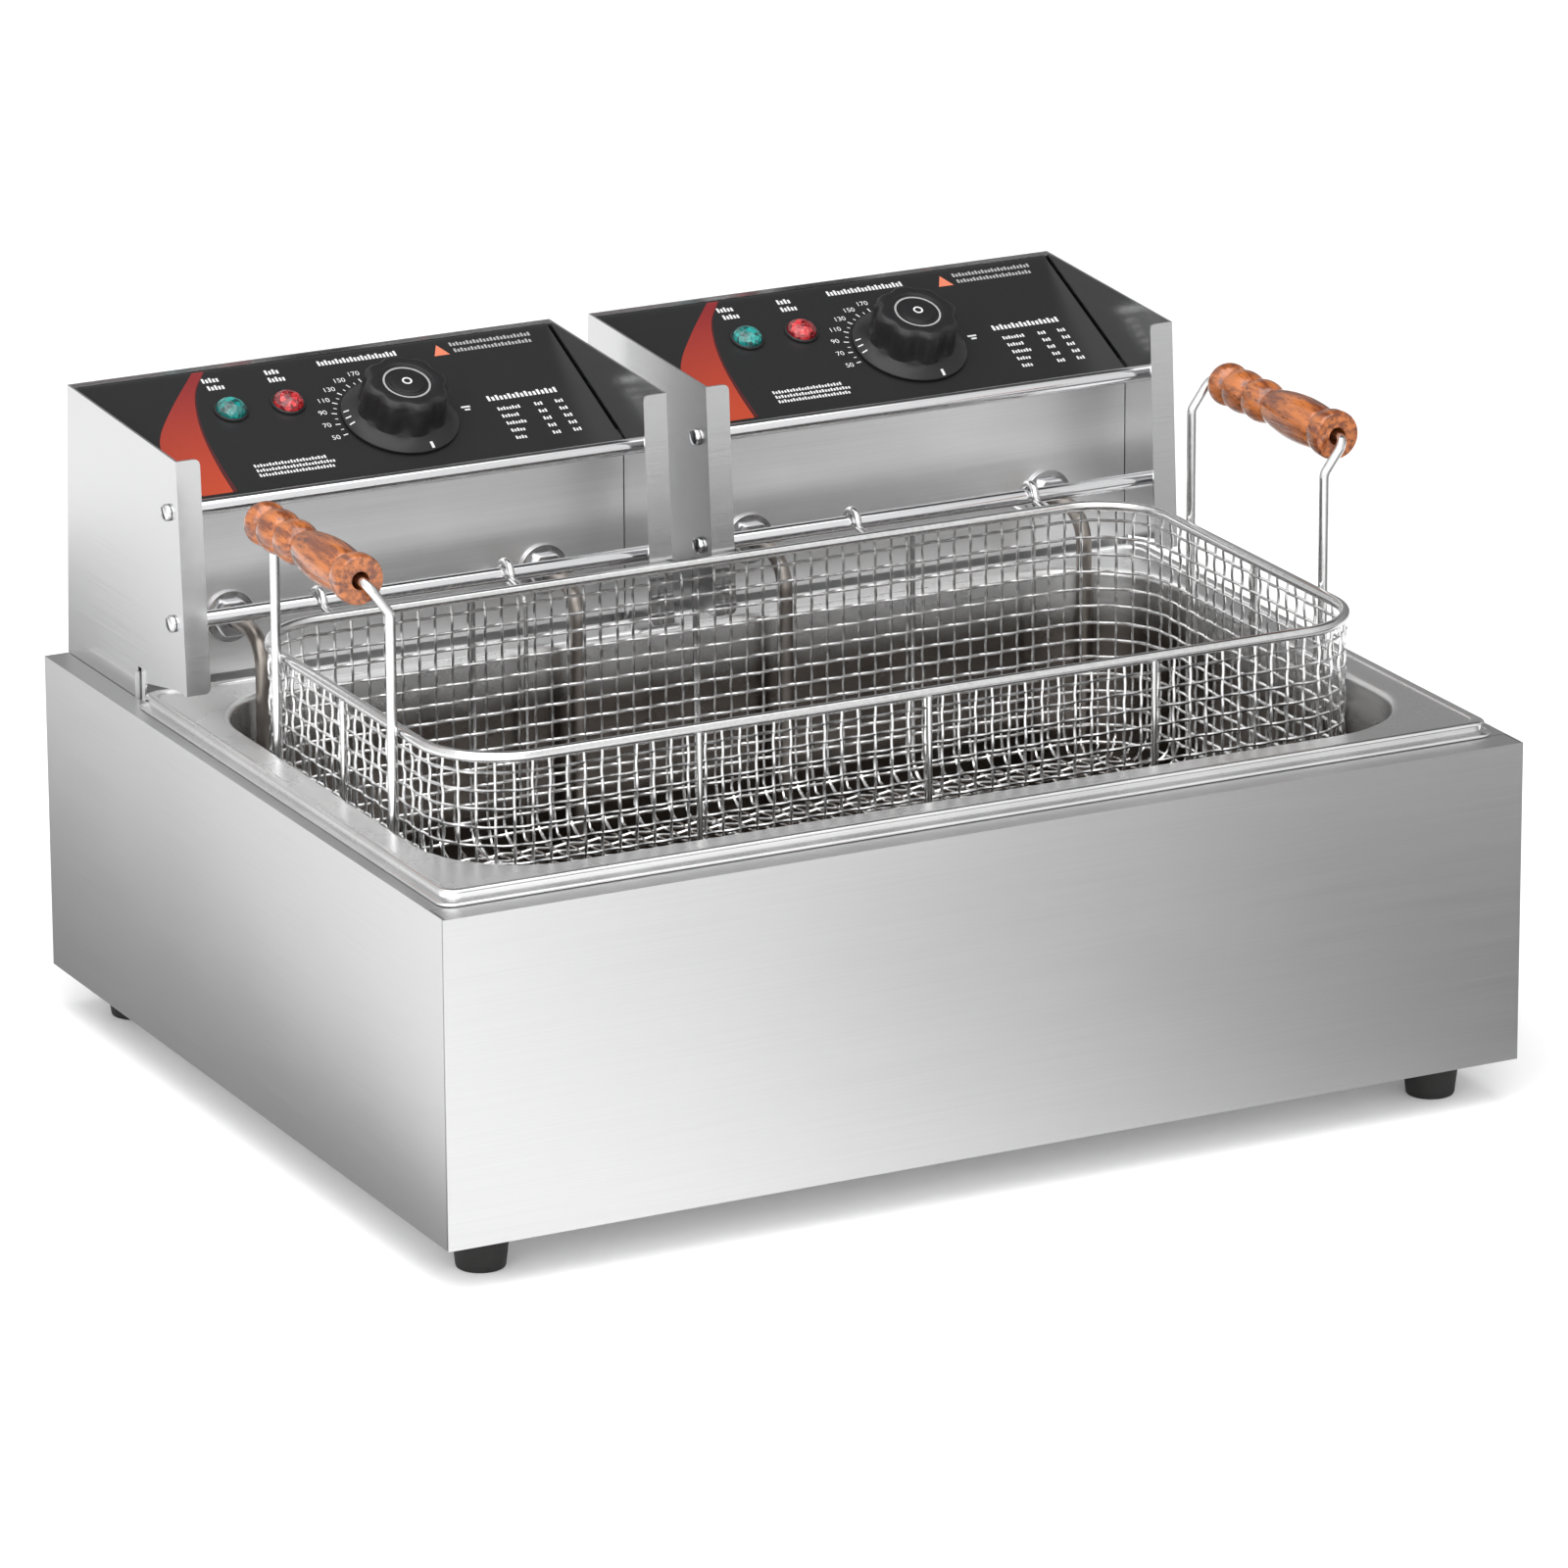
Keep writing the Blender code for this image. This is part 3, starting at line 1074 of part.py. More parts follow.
# ---- The whole fryer ----
def main():
    housing_frame = make_frame("housing_frame", (0, HOUSING_FRONT_Y, FOOT_HEIGHT))
    build_housing(housing_frame)
    build_tank(housing_frame)
    for prefix, sign in (("left", -1), ("right", 1)):
        place = (sign * HEAD_CENTRE, 0, 0)
        build_head(prefix, make_frame(f"{prefix}_head_frame", place, parent=housing_frame))
    build_basket(make_frame("basket_centre", (0, BASKET_CENTRE_Y, 0), parent=housing_frame))


main()
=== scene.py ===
# %% [markdown]
# # A countertop deep fryer
# The fryer is a wide box of brushed steel with one lift-out tank, two heating heads with dials and lamps,
# and a large wire basket hung from rails on the heads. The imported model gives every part's place and
# how it moves. This notebook gives the parts their finish, and rebuilds the round, woven and printed ones
# as smooth surfaces worked out with numpy.

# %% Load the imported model
import json

import bmesh
import bpy
import numpy as np
from mathutils import Matrix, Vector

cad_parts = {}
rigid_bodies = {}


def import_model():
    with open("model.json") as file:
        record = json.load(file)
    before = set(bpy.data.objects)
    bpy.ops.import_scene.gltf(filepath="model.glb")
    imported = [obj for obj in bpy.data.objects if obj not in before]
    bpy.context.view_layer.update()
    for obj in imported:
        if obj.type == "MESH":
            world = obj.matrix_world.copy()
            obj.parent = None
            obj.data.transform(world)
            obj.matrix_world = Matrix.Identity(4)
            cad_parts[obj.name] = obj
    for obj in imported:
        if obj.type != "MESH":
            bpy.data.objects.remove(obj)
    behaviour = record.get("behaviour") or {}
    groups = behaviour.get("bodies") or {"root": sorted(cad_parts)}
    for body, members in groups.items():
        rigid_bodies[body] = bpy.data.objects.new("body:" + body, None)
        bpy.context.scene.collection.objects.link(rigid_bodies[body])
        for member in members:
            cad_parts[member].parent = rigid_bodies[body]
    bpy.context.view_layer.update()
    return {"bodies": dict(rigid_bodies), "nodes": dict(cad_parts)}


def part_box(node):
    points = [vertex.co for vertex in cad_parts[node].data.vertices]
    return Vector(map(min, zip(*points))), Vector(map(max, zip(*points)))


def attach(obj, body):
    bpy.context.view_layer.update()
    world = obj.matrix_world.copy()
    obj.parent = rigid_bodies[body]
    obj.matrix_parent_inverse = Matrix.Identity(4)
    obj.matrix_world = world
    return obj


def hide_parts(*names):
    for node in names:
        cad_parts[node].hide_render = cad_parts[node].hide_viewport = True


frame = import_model()
HEADS = ("left", "right")
HEAD_MIDDLE = {"left": -0.144, "right": 0.144}
print("bodies:", ", ".join(frame["bodies"]))

# %% [markdown]
# ## Where things are
# Two sets of coordinates keep the numbers readable. The row's own axes start under the middle of the
# fryer. Every fascia also has a sloping frame of its own: u runs sideways from the head's middle, v up
# the slope from its front edge, and h straight out of the face. A sum of three arrows turns (u, v, h)
# into the fryer's axes, so that prints, lamps and dials are placed as on a drawing. Drawing depths start
# at the housing's FRONT and heights at its BASE, and GAP is the clearance between parts that meet.

# %% Sloping frame of the fascia
X_AXIS, Y_AXIS, Z_AXIS = np.eye(3)
FRONT, BASE, GAP = -0.243205, 0.022, 0.0003
FASCIA_EDGE = np.array([0.0, FRONT + 0.3745, BASE + 0.2635])
FASCIA_SLOPE = np.arctan2(0.0387, 0.0858)
UP_SLOPE = np.array([0.0, np.cos(FASCIA_SLOPE), np.sin(FASCIA_SLOPE)])
OUT_OF_FACE = np.array([0.0, -np.sin(FASCIA_SLOPE), np.cos(FASCIA_SLOPE)])
DIAL = np.array([0.0243, 0.0385])


def on_fascia(side, u, v, h):
    """Head's middle + u along X + v up the slope + h out of the face."""
    u, v, h = np.broadcast_arrays(u, v, h)
    base = FASCIA_EDGE + np.array([HEAD_MIDDLE[side], 0.0, 0.0])
    return base + u[..., None] * X_AXIS + v[..., None] * UP_SLOPE + h[..., None] * OUT_OF_FACE


def box_of(name):
    """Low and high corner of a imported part."""
    return [np.array(corner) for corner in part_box(name)]


print("fascia slope in degrees:", round(float(np.degrees(FASCIA_SLOPE)), 2))

# %% [markdown]
# ## Making a mesh from arrays
# Nearly every new piece is a grid of points: rings of the same length, one after the other. Such a grid
# needs no modelling tools. The faces follow from the row and column numbers alone, so whole arrays are
# made at once. A piece is closed with a flat cap at each end, or by joining its last ring to its first.

# %% Grids, caps and pieces
def grid_faces(rows, columns, loop=False):
    """Quads between neighbouring rings: a corner, the next column, the next row's same two in reverse."""
    row, column = np.meshgrid(np.arange(rows if loop else rows - 1), np.arange(columns), indexing="ij")
    next_row, next_column = (row + 1) % rows, (column + 1) % columns
    corners = (row * columns + column, row * columns + next_column)
    corners += (next_row * columns + next_column, next_row * columns + column)
    return np.stack(corners, axis=-1).reshape(-1, 4)


def cap_faces(rows, columns):
    """The first ring backwards and the last ring forwards, as two flat faces."""
    first = np.arange(columns)[::-1]
    last = np.arange(columns) + (rows - 1) * columns
    return np.stack([first, last])


def gathered(parts):
    """Stacks the parts' points and shifts each part's corner numbers by the points before it."""
    points, faces, start = [], [], 0
    for some, corners in parts:
        points.append(some.reshape(-1, 3))
        faces += [[corner + start for corner in face] for face in corners]
        start += len(points[-1])
    return np.concatenate(points), faces


def set_down(name, data):
    """A new object in the scene for a mesh, a light, a text or a camera."""
    made = bpy.data.objects.new(name, data)
    bpy.context.scene.collection.objects.link(made)
    return made


def make_piece(name, points, faces, body, finish, replaced=None, smooth=40, slot=None):
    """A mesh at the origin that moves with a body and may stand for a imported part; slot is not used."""
    mesh = bpy.data.meshes.new(name)
    mesh.from_pydata(np.asarray(points).reshape(-1, 3).tolist(), [], faces)
    shell = bmesh.new()
    shell.from_mesh(mesh)
    bmesh.ops.recalc_face_normals(shell, faces=shell.faces)
    shell.to_mesh(mesh)
    shell.free()
    mesh.materials.append(finish)
    mesh.shade_smooth()
    mesh.set_sharp_from_angle(angle=np.radians(smooth))
    piece = set_down(name, mesh)
    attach(piece, body)
    if replaced:
        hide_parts(replaced)
    print(f"{name}: {len(mesh.polygons)} faces")


def rings_piece(name, rings, loop, *rest, **more):
    """A piece through an array of rings (row, column, xyz), capped or joined end to end."""
    rows, columns = rings.shape[:2]
    faces = grid_faces(rows, columns, loop).tolist()
    if not loop:
        faces += cap_faces(rows, columns).tolist()
    make_piece(name, rings, faces, *rest, **more)


# %% [markdown]
# ## Three ways to make rings
# A turned part is a profile of radii and heights swept round an axis. A wire is a circle carried along a
# path. A pressed part is a rounded rectangle whose size and height change from ring to ring. Each of
# these is one array expression.

# %% Turned parts, wires and rounded rectangles
def turned_rings(profile, centre, axis, side, count):
    """centre + height * axis + radius * (cos * side + sin * across) for every (radius, height)."""
    profile = np.asarray(profile, float)
    axis, side = np.asarray(axis, float), np.asarray(side, float)
    across = np.cross(axis, side)
    angle = np.linspace(0, 2 * np.pi, count, endpoint=False)
    circle = np.cos(angle)[:, None] * side + np.sin(angle)[:, None] * across
    return np.asarray(centre) + profile[:, None, 1:] * axis + profile[:, :1, None] * circle[None]


def dome(radius, low, rise, steps, tip, power=1.0):
    """A profile: radius * cos(turn) ** power at low + rise * sin(turn), closed at a small tip radius."""
    turn = np.linspace(0, np.pi / 2, steps)
    shape = np.stack([radius * np.cos(turn) ** power, low + rise * np.sin(turn)], axis=-1)
    shape[-1, 0] = tip
    return shape


def wire_rings(path, radius, sides, reference, loop=False):
    """Circles square to a path: one spoke is the reference direction made square to the tangent."""
    path = np.asarray(path, float)
    if loop:
        tangent = np.roll(path, -1, axis=-2) - np.roll(path, 1, axis=-2)
    else:
        tangent = np.gradient(path, axis=-2)
    tangent /= np.linalg.norm(tangent, axis=-1, keepdims=True)
    spoke = reference - tangent * np.sum(tangent * reference, axis=-1, keepdims=True)
    spoke /= np.linalg.norm(spoke, axis=-1, keepdims=True)
    other = np.cross(tangent, spoke)
    angle = np.linspace(0, 2 * np.pi, sides, endpoint=False)
    cosine, sine = np.cos(angle)[:, None], np.sin(angle)[:, None]
    radius = np.broadcast_to(radius, path.shape[:-1])[..., None, None]
    return path[..., None, :] + radius * (cosine * spoke[..., None, :] + sine * other[..., None, :])


def rounded_rectangle(half_width, half_depth, radius, steps):
    """Corner centres plus a radius at evenly stepped angles, anticlockwise from the front right."""
    angle = np.linspace(0, np.pi / 2, steps + 1)[None] + np.array([-0.5, 0.0, 0.5, 1.0])[:, None] * np.pi
    sign_x = np.array([1, 1, -1, -1])[:, None]
    sign_y = np.array([-1, 1, 1, -1])[:, None]
    x = sign_x * (half_width - radius) + radius * np.cos(angle)
    y = sign_y * (half_depth - radius) + radius * np.sin(angle)
    return np.stack([x.ravel(), y.ravel()], axis=-1)


def bent_path(corners, radius, steps=8):
    """Straight runs joined by arcs of one radius; each arc is the slerp between its two end spokes."""
    corners = np.asarray(corners, float)
    parts = [corners[:1]]
    for before, corner, after in zip(corners, corners[1:], corners[2:]):
        back, ahead = before - corner, after - corner
        back, ahead = back / np.linalg.norm(back), ahead / np.linalg.norm(ahead)
        half = np.arccos(np.clip(back @ ahead, -1, 1)) / 2
        middle = (back + ahead) / np.linalg.norm(back + ahead)
        centre = corner + middle * radius / np.sin(half)
        first = corner + back * radius / np.tan(half) - centre
        last = corner + ahead * radius / np.tan(half) - centre
        turn = np.pi - 2 * half
        share = np.linspace(0, 1, steps + 1)[:, None]
        arc = np.sin((1 - share) * turn) * first + np.sin(share * turn) * last
        parts.append(centre + arc / np.sin(turn))
    parts.append(corners[-1:])
    return np.concatenate(parts)


print("a rounded rectangle has", len(rounded_rectangle(1, 1, 0.2, 8)), "points at 8 steps a corner")

# %% [markdown]
# ## Writing finishes as sums
# A finish is a small network of nodes. Written out link by link it hides its own idea, so one class wraps
# a socket and lets plus, minus and times build the maths nodes. Everything else comes from one method,
# which takes the node's type, its settings and what goes into it. Only what changes over the surface is
# linked; a value that is the same everywhere is set on the shader itself.

# %% Socket sums and finishes
class Flow:
    """The output of a node, which can be used in sums."""

    def __init__(self, finish, socket):
        self.finish = finish
        self.socket = socket

    def maths(self, operation, *terms):
        return self.finish.node("ShaderNodeMath", {"operation": operation}, dict(enumerate(terms)))

    def __add__(self, other):
        return self.maths("ADD", self, other)

    def __mul__(self, other):
        return self.maths("MULTIPLY", self, other)

    def __gt__(self, other):
        return self.maths("GREATER_THAN", self, other)

    def __abs__(self):
        return self.maths("ABSOLUTE", self)

    __radd__ = __add__
    __rmul__ = __mul__


class Finish:
    """A material with one Principled shader and the nodes that feed it."""

    def __init__(self, name, **fixed):
        self.material = bpy.data.materials.new(name)
        self.material.use_nodes = True
        self.tree = self.material.node_tree
        self.shader = self.tree.nodes["Principled BSDF"]
        for socket, value in fixed.items():
            self.shader.inputs[socket.replace("_", " ")].default_value = value

    def node(self, kind, settings, inputs, output=0):
        made = self.tree.nodes.new(kind)
        for key, value in settings.items():
            if key == "stops":
                for element, (place, color) in zip(made.color_ramp.elements, value):
                    element.position = place
                    element.color = color
            else:
                setattr(made, key, value)
        for key, value in inputs.items():
            self.join(value, made.inputs[key])
        return Flow(self, made.outputs[output])

    def join(self, value, socket):
        if isinstance(value, Flow):
            self.tree.links.new(value.socket, socket)
        else:
            socket.default_value = value

    def feed(self, **links):
        for socket, flow in links.items():
            self.join(flow, self.shader.inputs[socket.replace("_", " ")])
        return self

    def place(self):
        return self.node("ShaderNodeTexCoord", {}, {}, "Object")

    def noise(self, stretch, detail=3.0, roughness=0.5):
        """Noise on the object's own coordinates times a scale for each axis."""
        spot = self.node("ShaderNodeMapping", {}, {"Vector": self.place(), "Scale": stretch})
        inputs = {"Vector": spot, "Scale": 1.0, "Detail": detail, "Roughness": roughness}
        return self.node("ShaderNodeTexNoise", {}, inputs)

    def coordinate(self, axis):
        return self.node("ShaderNodeSeparateXYZ", {}, {"Vector": self.place()}, axis)

    def step(self, value, low, high, kind="SMOOTHSTEP"):
        """0 where the value is under low, 1 where it is over high, and a ramp between them."""
        limits = {"Value": value, "From Min": low, "From Max": high}
        return self.node("ShaderNodeMapRange", {"interpolation_type": kind}, limits)

    def blend(self, share, low, high):
        """Colour low where share is 0 and high where it is 1."""
        low, high = [color if isinstance(color, Flow) else (*color, 1) for color in (low, high)]
        return self.node("ShaderNodeMix", {"data_type": "RGBA"}, {0: share, 6: low, 7: high}, 2)

    def bump(self, height, strength, distance):
        """A Bump node for the shader's Normal."""
        return self.node("ShaderNodeBump", {}, {"Height": height, "Strength": strength, "Distance": distance})

    def surface(self, color, rough, height, strength, distance=0.0002):
        """Feeds colour, roughness and a bump made from height."""
        normal = self.bump(height, strength, distance)
        return self.feed(Base_Color=color, Roughness=rough, Normal=normal).material


def grey(level):
    return (level, level, level)


# %% [markdown]
# ## Brushed sheet steel
# The housing and the heads are folded from stainless sheet with a fine directional grain. The grain is
# noise squeezed thin across the brushing and drawn long along it. Uprights facing sideways are brushed
# from front to back, and the rest from left to right, so the face's own normal picks the direction. The
# grain moves the roughness and a faint bump, and slow, wide noise adds the cloudiness of handled steel.

# %% Brushed steel
def brushed_steel(name, tone, roughness):
    steel = Finish(name, Metallic=1.0)
    normal = steel.node("ShaderNodeNewGeometry", {}, {}, "True Normal")
    sideways = steel.node("ShaderNodeSeparateXYZ", {}, {"Vector": normal}, "X")
    facing_side = abs(sideways) > 0.7
    across = steel.noise((9, 1300, 1300), 3.0, 0.65)
    along = steel.noise((1300, 9, 1300), 3.0, 0.65)
    streak = steel.node("ShaderNodeMix", {"data_type": "FLOAT"}, {0: facing_side, 2: across, 3: along})
    cloud = steel.noise((5, 5, 7))
    dark, bright = [c * 0.86 for c in tone], [c * 1.05 for c in tone]
    color = steel.blend(streak * 0.7 + cloud * 0.3, dark, bright)
    rough = streak * 0.1225 + cloud * 0.08 + (roughness - 0.07)
    return steel.surface(color, rough, streak, 0.10)


SHEET_STEEL = brushed_steel("sheet_steel", (0.69, 0.69, 0.693), 0.33)
HEAD_STEEL = brushed_steel("head_steel", (0.68, 0.68, 0.683), 0.18)
PLATE_STEEL = brushed_steel("plate_steel", (0.92, 0.92, 0.923), 0.36)
print("sheet finishes:", SHEET_STEEL.name, HEAD_STEEL.name)

# %% [markdown]
# ## Bright steel, drawn steel and heated steel
# Rods, screws and basket wire are polished, with a trace of drawing marks. The heating tubes go dull and
# brownish from heat. They share one recipe, a metal with two tones mixed by noise, so one function makes
# them. The tank is smooth and slightly cloudy, and adds a painted shade, dark brown inside the tank, whose
# edge follows the height.

# %% Plain metals
def plain_metal(name, dark, bright, roughness, spread, scale, bump):
    metal = Finish(name, Metallic=1.0)
    cloud = metal.noise(scale, 3.0, 0.55)
    color = metal.blend(cloud, dark, bright)
    rough = cloud * spread + (roughness - spread / 2)
    return metal.surface(color, rough, cloud, bump)


WIRE_STEEL = plain_metal("wire_steel", grey(0.60), grey(0.84), 0.20, 0.12, (420, 420, 420), 0.05)
ROD_TONES = (0.66, 0.66, 0.67), (0.82, 0.82, 0.83)
ROD_STEEL = plain_metal("rod_steel", *ROD_TONES, 0.16, 0.08, (14, 900, 900), 0.04)


def tank_metal():
    """Bright cloudy steel at the rim; lower down, by height, a dark brown painted shade inside the tank."""
    metal = Finish("tank_steel", Metallic=1.0)
    cloud = metal.noise((22, 22, 40), 3.0, 0.55)
    rim_tone = metal.blend(cloud, grey(0.78), grey(0.92))
    # Painted shade: below the rim the inside is coloured dark brown, standing for the shade in the deep tank.
    painted_shade_tone = metal.blend(cloud, (0.10, 0.085, 0.074), (0.26, 0.232, 0.210))
    above_painted_shade = metal.step(metal.coordinate("Z") + cloud * 0.006, 0.160, 0.187)
    rough = cloud * 0.10 + 0.22
    return metal.surface(metal.blend(above_painted_shade, painted_shade_tone, rim_tone), rough, cloud, 0.02)


TANK_STEEL = tank_metal()
HEATED_TONES = (0.20, 0.17, 0.15), (0.42, 0.39, 0.36)
HEATED_STEEL = plain_metal("heated_steel", *HEATED_TONES, 0.38, 0.15, (60, 60, 60), 0.10)
print("metals:", WIRE_STEEL.name, ROD_STEEL.name, TANK_STEEL.name, HEATED_STEEL.name)

# %% [markdown]
# ## Black parts and coloured lenses
# The fascia is a satin charcoal foil, the dial is moulded plastic with a fine texture, and the feet are
# rubber. They differ in tone, gloss and in how coarse their surface is, so they share a recipe too. A
# lens is glossy coloured plastic with facets inside: a Voronoi pattern gives each facet a painted tone,
# lighter or darker as if it caught the light, and the lens has a faint painted glow in that colour.

# %% Plastics, rubber and lenses
def moulded(name, tone, lift, roughness, spread, scale, bump):
    plastic = Finish(name, Specular_IOR_Level=0.35)
    speck = plastic.noise((scale, scale, scale), 2.0, 0.6)
    color = plastic.blend(speck, tone, lift)
    rough = speck * spread + (roughness - spread / 2)
    return plastic.surface(color, rough, speck, bump, 0.0003)


def lens(name, deep, bright):
    # Painted glow: a faint emission in the lens's own colour; the reset cap, which is no lamp, glows with it
    # too.
    glass = Finish(name, Roughness=0.08, Coat_Weight=1.0, Coat_Roughness=0.03, Emission_Strength=0.25)
    facets = {"Vector": glass.place(), "Scale": 420.0}
    # Painted glints: each facet gets a lighter or darker share of the colour, as if it caught the light.
    facet_glint_cells = glass.node("ShaderNodeTexVoronoi", {}, facets, "Color")
    share = glass.node("ShaderNodeSeparateColor", {}, {"Color": facet_glint_cells}, 0)
    color = glass.blend(share * share, deep, bright)
    height = glass.node("ShaderNodeTexVoronoi", {}, facets, "Distance")
    return glass.feed(Base_Color=color, Emission_Color=color, Normal=glass.bump(height, 0.5, 0.002)).material


FOIL = (0.016, 0.016, 0.0165), (0.025, 0.025, 0.026)
PLASTIC = (0.010, 0.010, 0.011), (0.020, 0.020, 0.021)
RUBBER = grey(0.010), (0.024, 0.023, 0.022)
GLOSSY = (0.012, 0.012, 0.013), (0.020, 0.020, 0.022)
FASCIA_BLACK = moulded("fascia_black", *FOIL, 0.30, 0.08, 2600, 0.10)
DIAL_BLACK = moulded("dial_black", *PLASTIC, 0.34, 0.12, 1500, 0.12)
FOOT_RUBBER = moulded("foot_rubber", *RUBBER, 0.66, 0.15, 700, 0.30)
RING_BLACK = moulded("ring_black", *GLOSSY, 0.28, 0.06, 900, 0.05)
GREEN_LENS = lens("green_lens", (0.0, 0.035, 0.034), (0.005, 0.33, 0.30))
RED_LENS = lens("red_lens", (0.12, 0.0, 0.003), (0.66, 0.028, 0.035))
print("dark finishes:", FASCIA_BLACK.name, DIAL_BLACK.name, FOOT_RUBBER.name)

# %% [markdown]
# ## Varnished wood
# The grips are turned from pale wood, stained orange-brown and varnished. The grain runs along the grip,
# so noise is drawn long in that direction and bends two tones into each other. Darker flecks come from
# a second, finer noise that only counts above a threshold. A clear coat over it gives the varnish.

# %% Wood
def varnished_wood():
    wood = Finish("varnished_wood", Coat_Weight=1.0, Coat_Roughness=0.09)
    grain = wood.noise((230, 30, 230), 4.0, 0.6)
    tone = wood.blend(wood.step(grain, 0.36, 0.64), (0.17, 0.036, 0.007), (0.52, 0.150, 0.026))
    spots = wood.noise((520, 170, 520), 2.0) > 0.62
    color = wood.blend(spots * 0.6, tone, (0.075, 0.016, 0.005))
    return wood.surface(color, grain * 0.16 + 0.30, grain, 0.12, 0.0004)


WOOD = varnished_wood()
print("wood:", WOOD.name)

# %% [markdown]
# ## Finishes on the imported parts
# Flat folded parts already have their true shape: the housing, the heads' panels, the plates and the
# fascia. They only need a finish, which goes into the material slots of their own objects.

# %% Dress the flat parts
def dress(finish, *names):
    for name in names:
        for slot in frame["nodes"][name].material_slots:
            slot.material = finish


dress(SHEET_STEEL, "housing_shell", "front_panel", "base_plate")
for side in HEADS:
    dress(HEAD_STEEL, f"{side}_head_shell", f"{side}_head_base")
    dress(PLATE_STEEL, f"{side}_front_plate")
    dress(FASCIA_BLACK, f"{side}_fascia")
    dress(ROD_STEEL, f"{side}_dial_shaft")
print("dressed:", 3 + 5 * len(HEADS), "parts")

# %% [markdown]
# ## The tank
# The real tank is deep-drawn from one sheet: a flat floor, walls with big round corners, a flat ledge and
# a raised bead along the edge. Every level of it is a rounded rectangle, so the tank is a stack of rings.
# The list goes up the inside, over the bead and down the outside, and both floors close it.

# %% Tank
TANK_LOW, TANK_HIGH = box_of("tank")
TANK_MIDDLE = (TANK_LOW + TANK_HIGH) / 2
RIM_HALF = (TANK_HIGH - TANK_LOW)[:2] / 2
WELL_HALF = RIM_HALF - 0.0225
WELL_CORNER, FLOOR_ROUND, LIP_ROUND, SHEET = 0.055, 0.015, 0.0035, 0.001
FLOOR_Z, BEAD_TOP = TANK_LOW[2] + SHEET, TANK_HIGH[2]
LEDGE, SKIRT = BEAD_TOP - 0.0012, BEAD_TOP - 0.0073


def tank_levels(skin):
    """Shift, corner radius and height up one face: a quarter round at the floor, the wall, the lip."""
    turn = np.linspace(0, np.pi / 2, 7)
    inset = 0.002 + FLOOR_ROUND * (1 - np.sin(turn)) - skin
    foot_z = FLOOR_Z - skin + FLOOR_ROUND * (1 - np.cos(turn))
    foot = np.stack([-inset, WELL_CORNER - inset, foot_z], axis=-1)
    spread = skin + LIP_ROUND * (1 - np.cos(turn))
    top = LEDGE - skin - LIP_ROUND * (1 - np.sin(turn))
    return np.concatenate([foot, np.stack([spread, WELL_CORNER + spread, top], axis=-1)])


def tank_rings():
    """Inner face, bead as a half round between ledge and edge, and the outer face in reverse."""
    inner, outer = tank_levels(0.0), tank_levels(SHEET)
    turn = np.linspace(0, np.pi, 9)
    bead_z = BEAD_TOP - 0.0014 + 0.0014 * np.sin(turn)
    bead = np.stack([0.0048 - 0.0027 * np.cos(np.pi - turn), bead_z], axis=-1)[::-1]
    edge = [(0.0110, LEDGE), (0.0080, LEDGE), (0.0077, LEDGE), *bead, (0.0014, SKIRT + 0.0014)]
    edge += [(0.0003, SKIRT + 0.0012), (0.0, SKIRT + 0.0008), (0.0, SKIRT + 0.0003), (0.0003, SKIRT)]
    edge += [(0.0031, SKIRT), (LIP_ROUND, BEAD_TOP - 0.0022)]
    levels = [rounded_level(WELL_HALF, *level) for level in inner]
    levels.append(rounded_level(WELL_HALF, 0.0041, WELL_CORNER + 0.0041, LEDGE))
    levels += [rounded_level(RIM_HALF, -inset, 0.008, z) for inset, z in edge]
    levels += [rounded_level(WELL_HALF, *level) for level in outer[::-1]]
    return np.stack(levels)


def rounded_level(half, grow, radius, z):
    """A level ring round the tank's middle."""
    outline = rounded_rectangle(half[0] + grow, half[1] + grow, radius, 14)
    return np.column_stack([outline + TANK_MIDDLE[:2], np.full(len(outline), z)])


rings_piece("drawn_tank", tank_rings(), False, "tank", TANK_STEEL, "tank", smooth=50)

# %% [markdown]
# ## The wire basket's cloth
# The basket is woven from crimped wire: every wire waves over and under the wires it crosses. The walls
# are worked out on two coordinates, s along the basket's outline and t down the wall and round the
# bottom edge. A wave of alternate sign on each next wire makes the weave. The floor is a plain
# grid of waving wires, trimmed to the floor's outline. Five-sided wires are round enough at this size.

# %% Outline of the basket
MESH_LOW, MESH_HIGH = box_of("basket_mesh")
CLOTH = 0.0008
BASKET_MIDDLE = (MESH_LOW + MESH_HIGH)[:2] / 2
BASKET_HALF = (MESH_HIGH - MESH_LOW)[:2] / 2 - CLOTH
BASKET_CORNER = 0.040
BASKET_FOOT = 0.012
BASKET_FLOOR = MESH_LOW[2] + CLOTH
CLOTH_TOP = MESH_HIGH[2]
CELL = 0.0091
WAVE = 0.00055
WEAVE_WIRE = 0.00082

outline = rounded_rectangle(*BASKET_HALF, BASKET_CORNER, 40)
outline = np.concatenate([outline, outline[:1]])
LENGTHS = np.concatenate([[0], np.cumsum(np.linalg.norm(np.diff(outline, axis=0), axis=1))])
PERIMETER = LENGTHS[-1]


def around(s):
    """Point and outward direction at length s along the outline, read from a dense table of it."""
    def read(place):
        place = np.mod(place, PERIMETER)
        return np.stack([np.interp(place, LENGTHS, outline[:, k]) for k in (0, 1)], axis=-1)

    step = read(s + 0.0004) - read(s - 0.0004)
    outward = np.stack([step[..., 1], -step[..., 0]], axis=-1)
    return read(s), outward / np.linalg.norm(outward, axis=-1, keepdims=True)


print("basket outline in metres:", round(float(PERIMETER), 3))


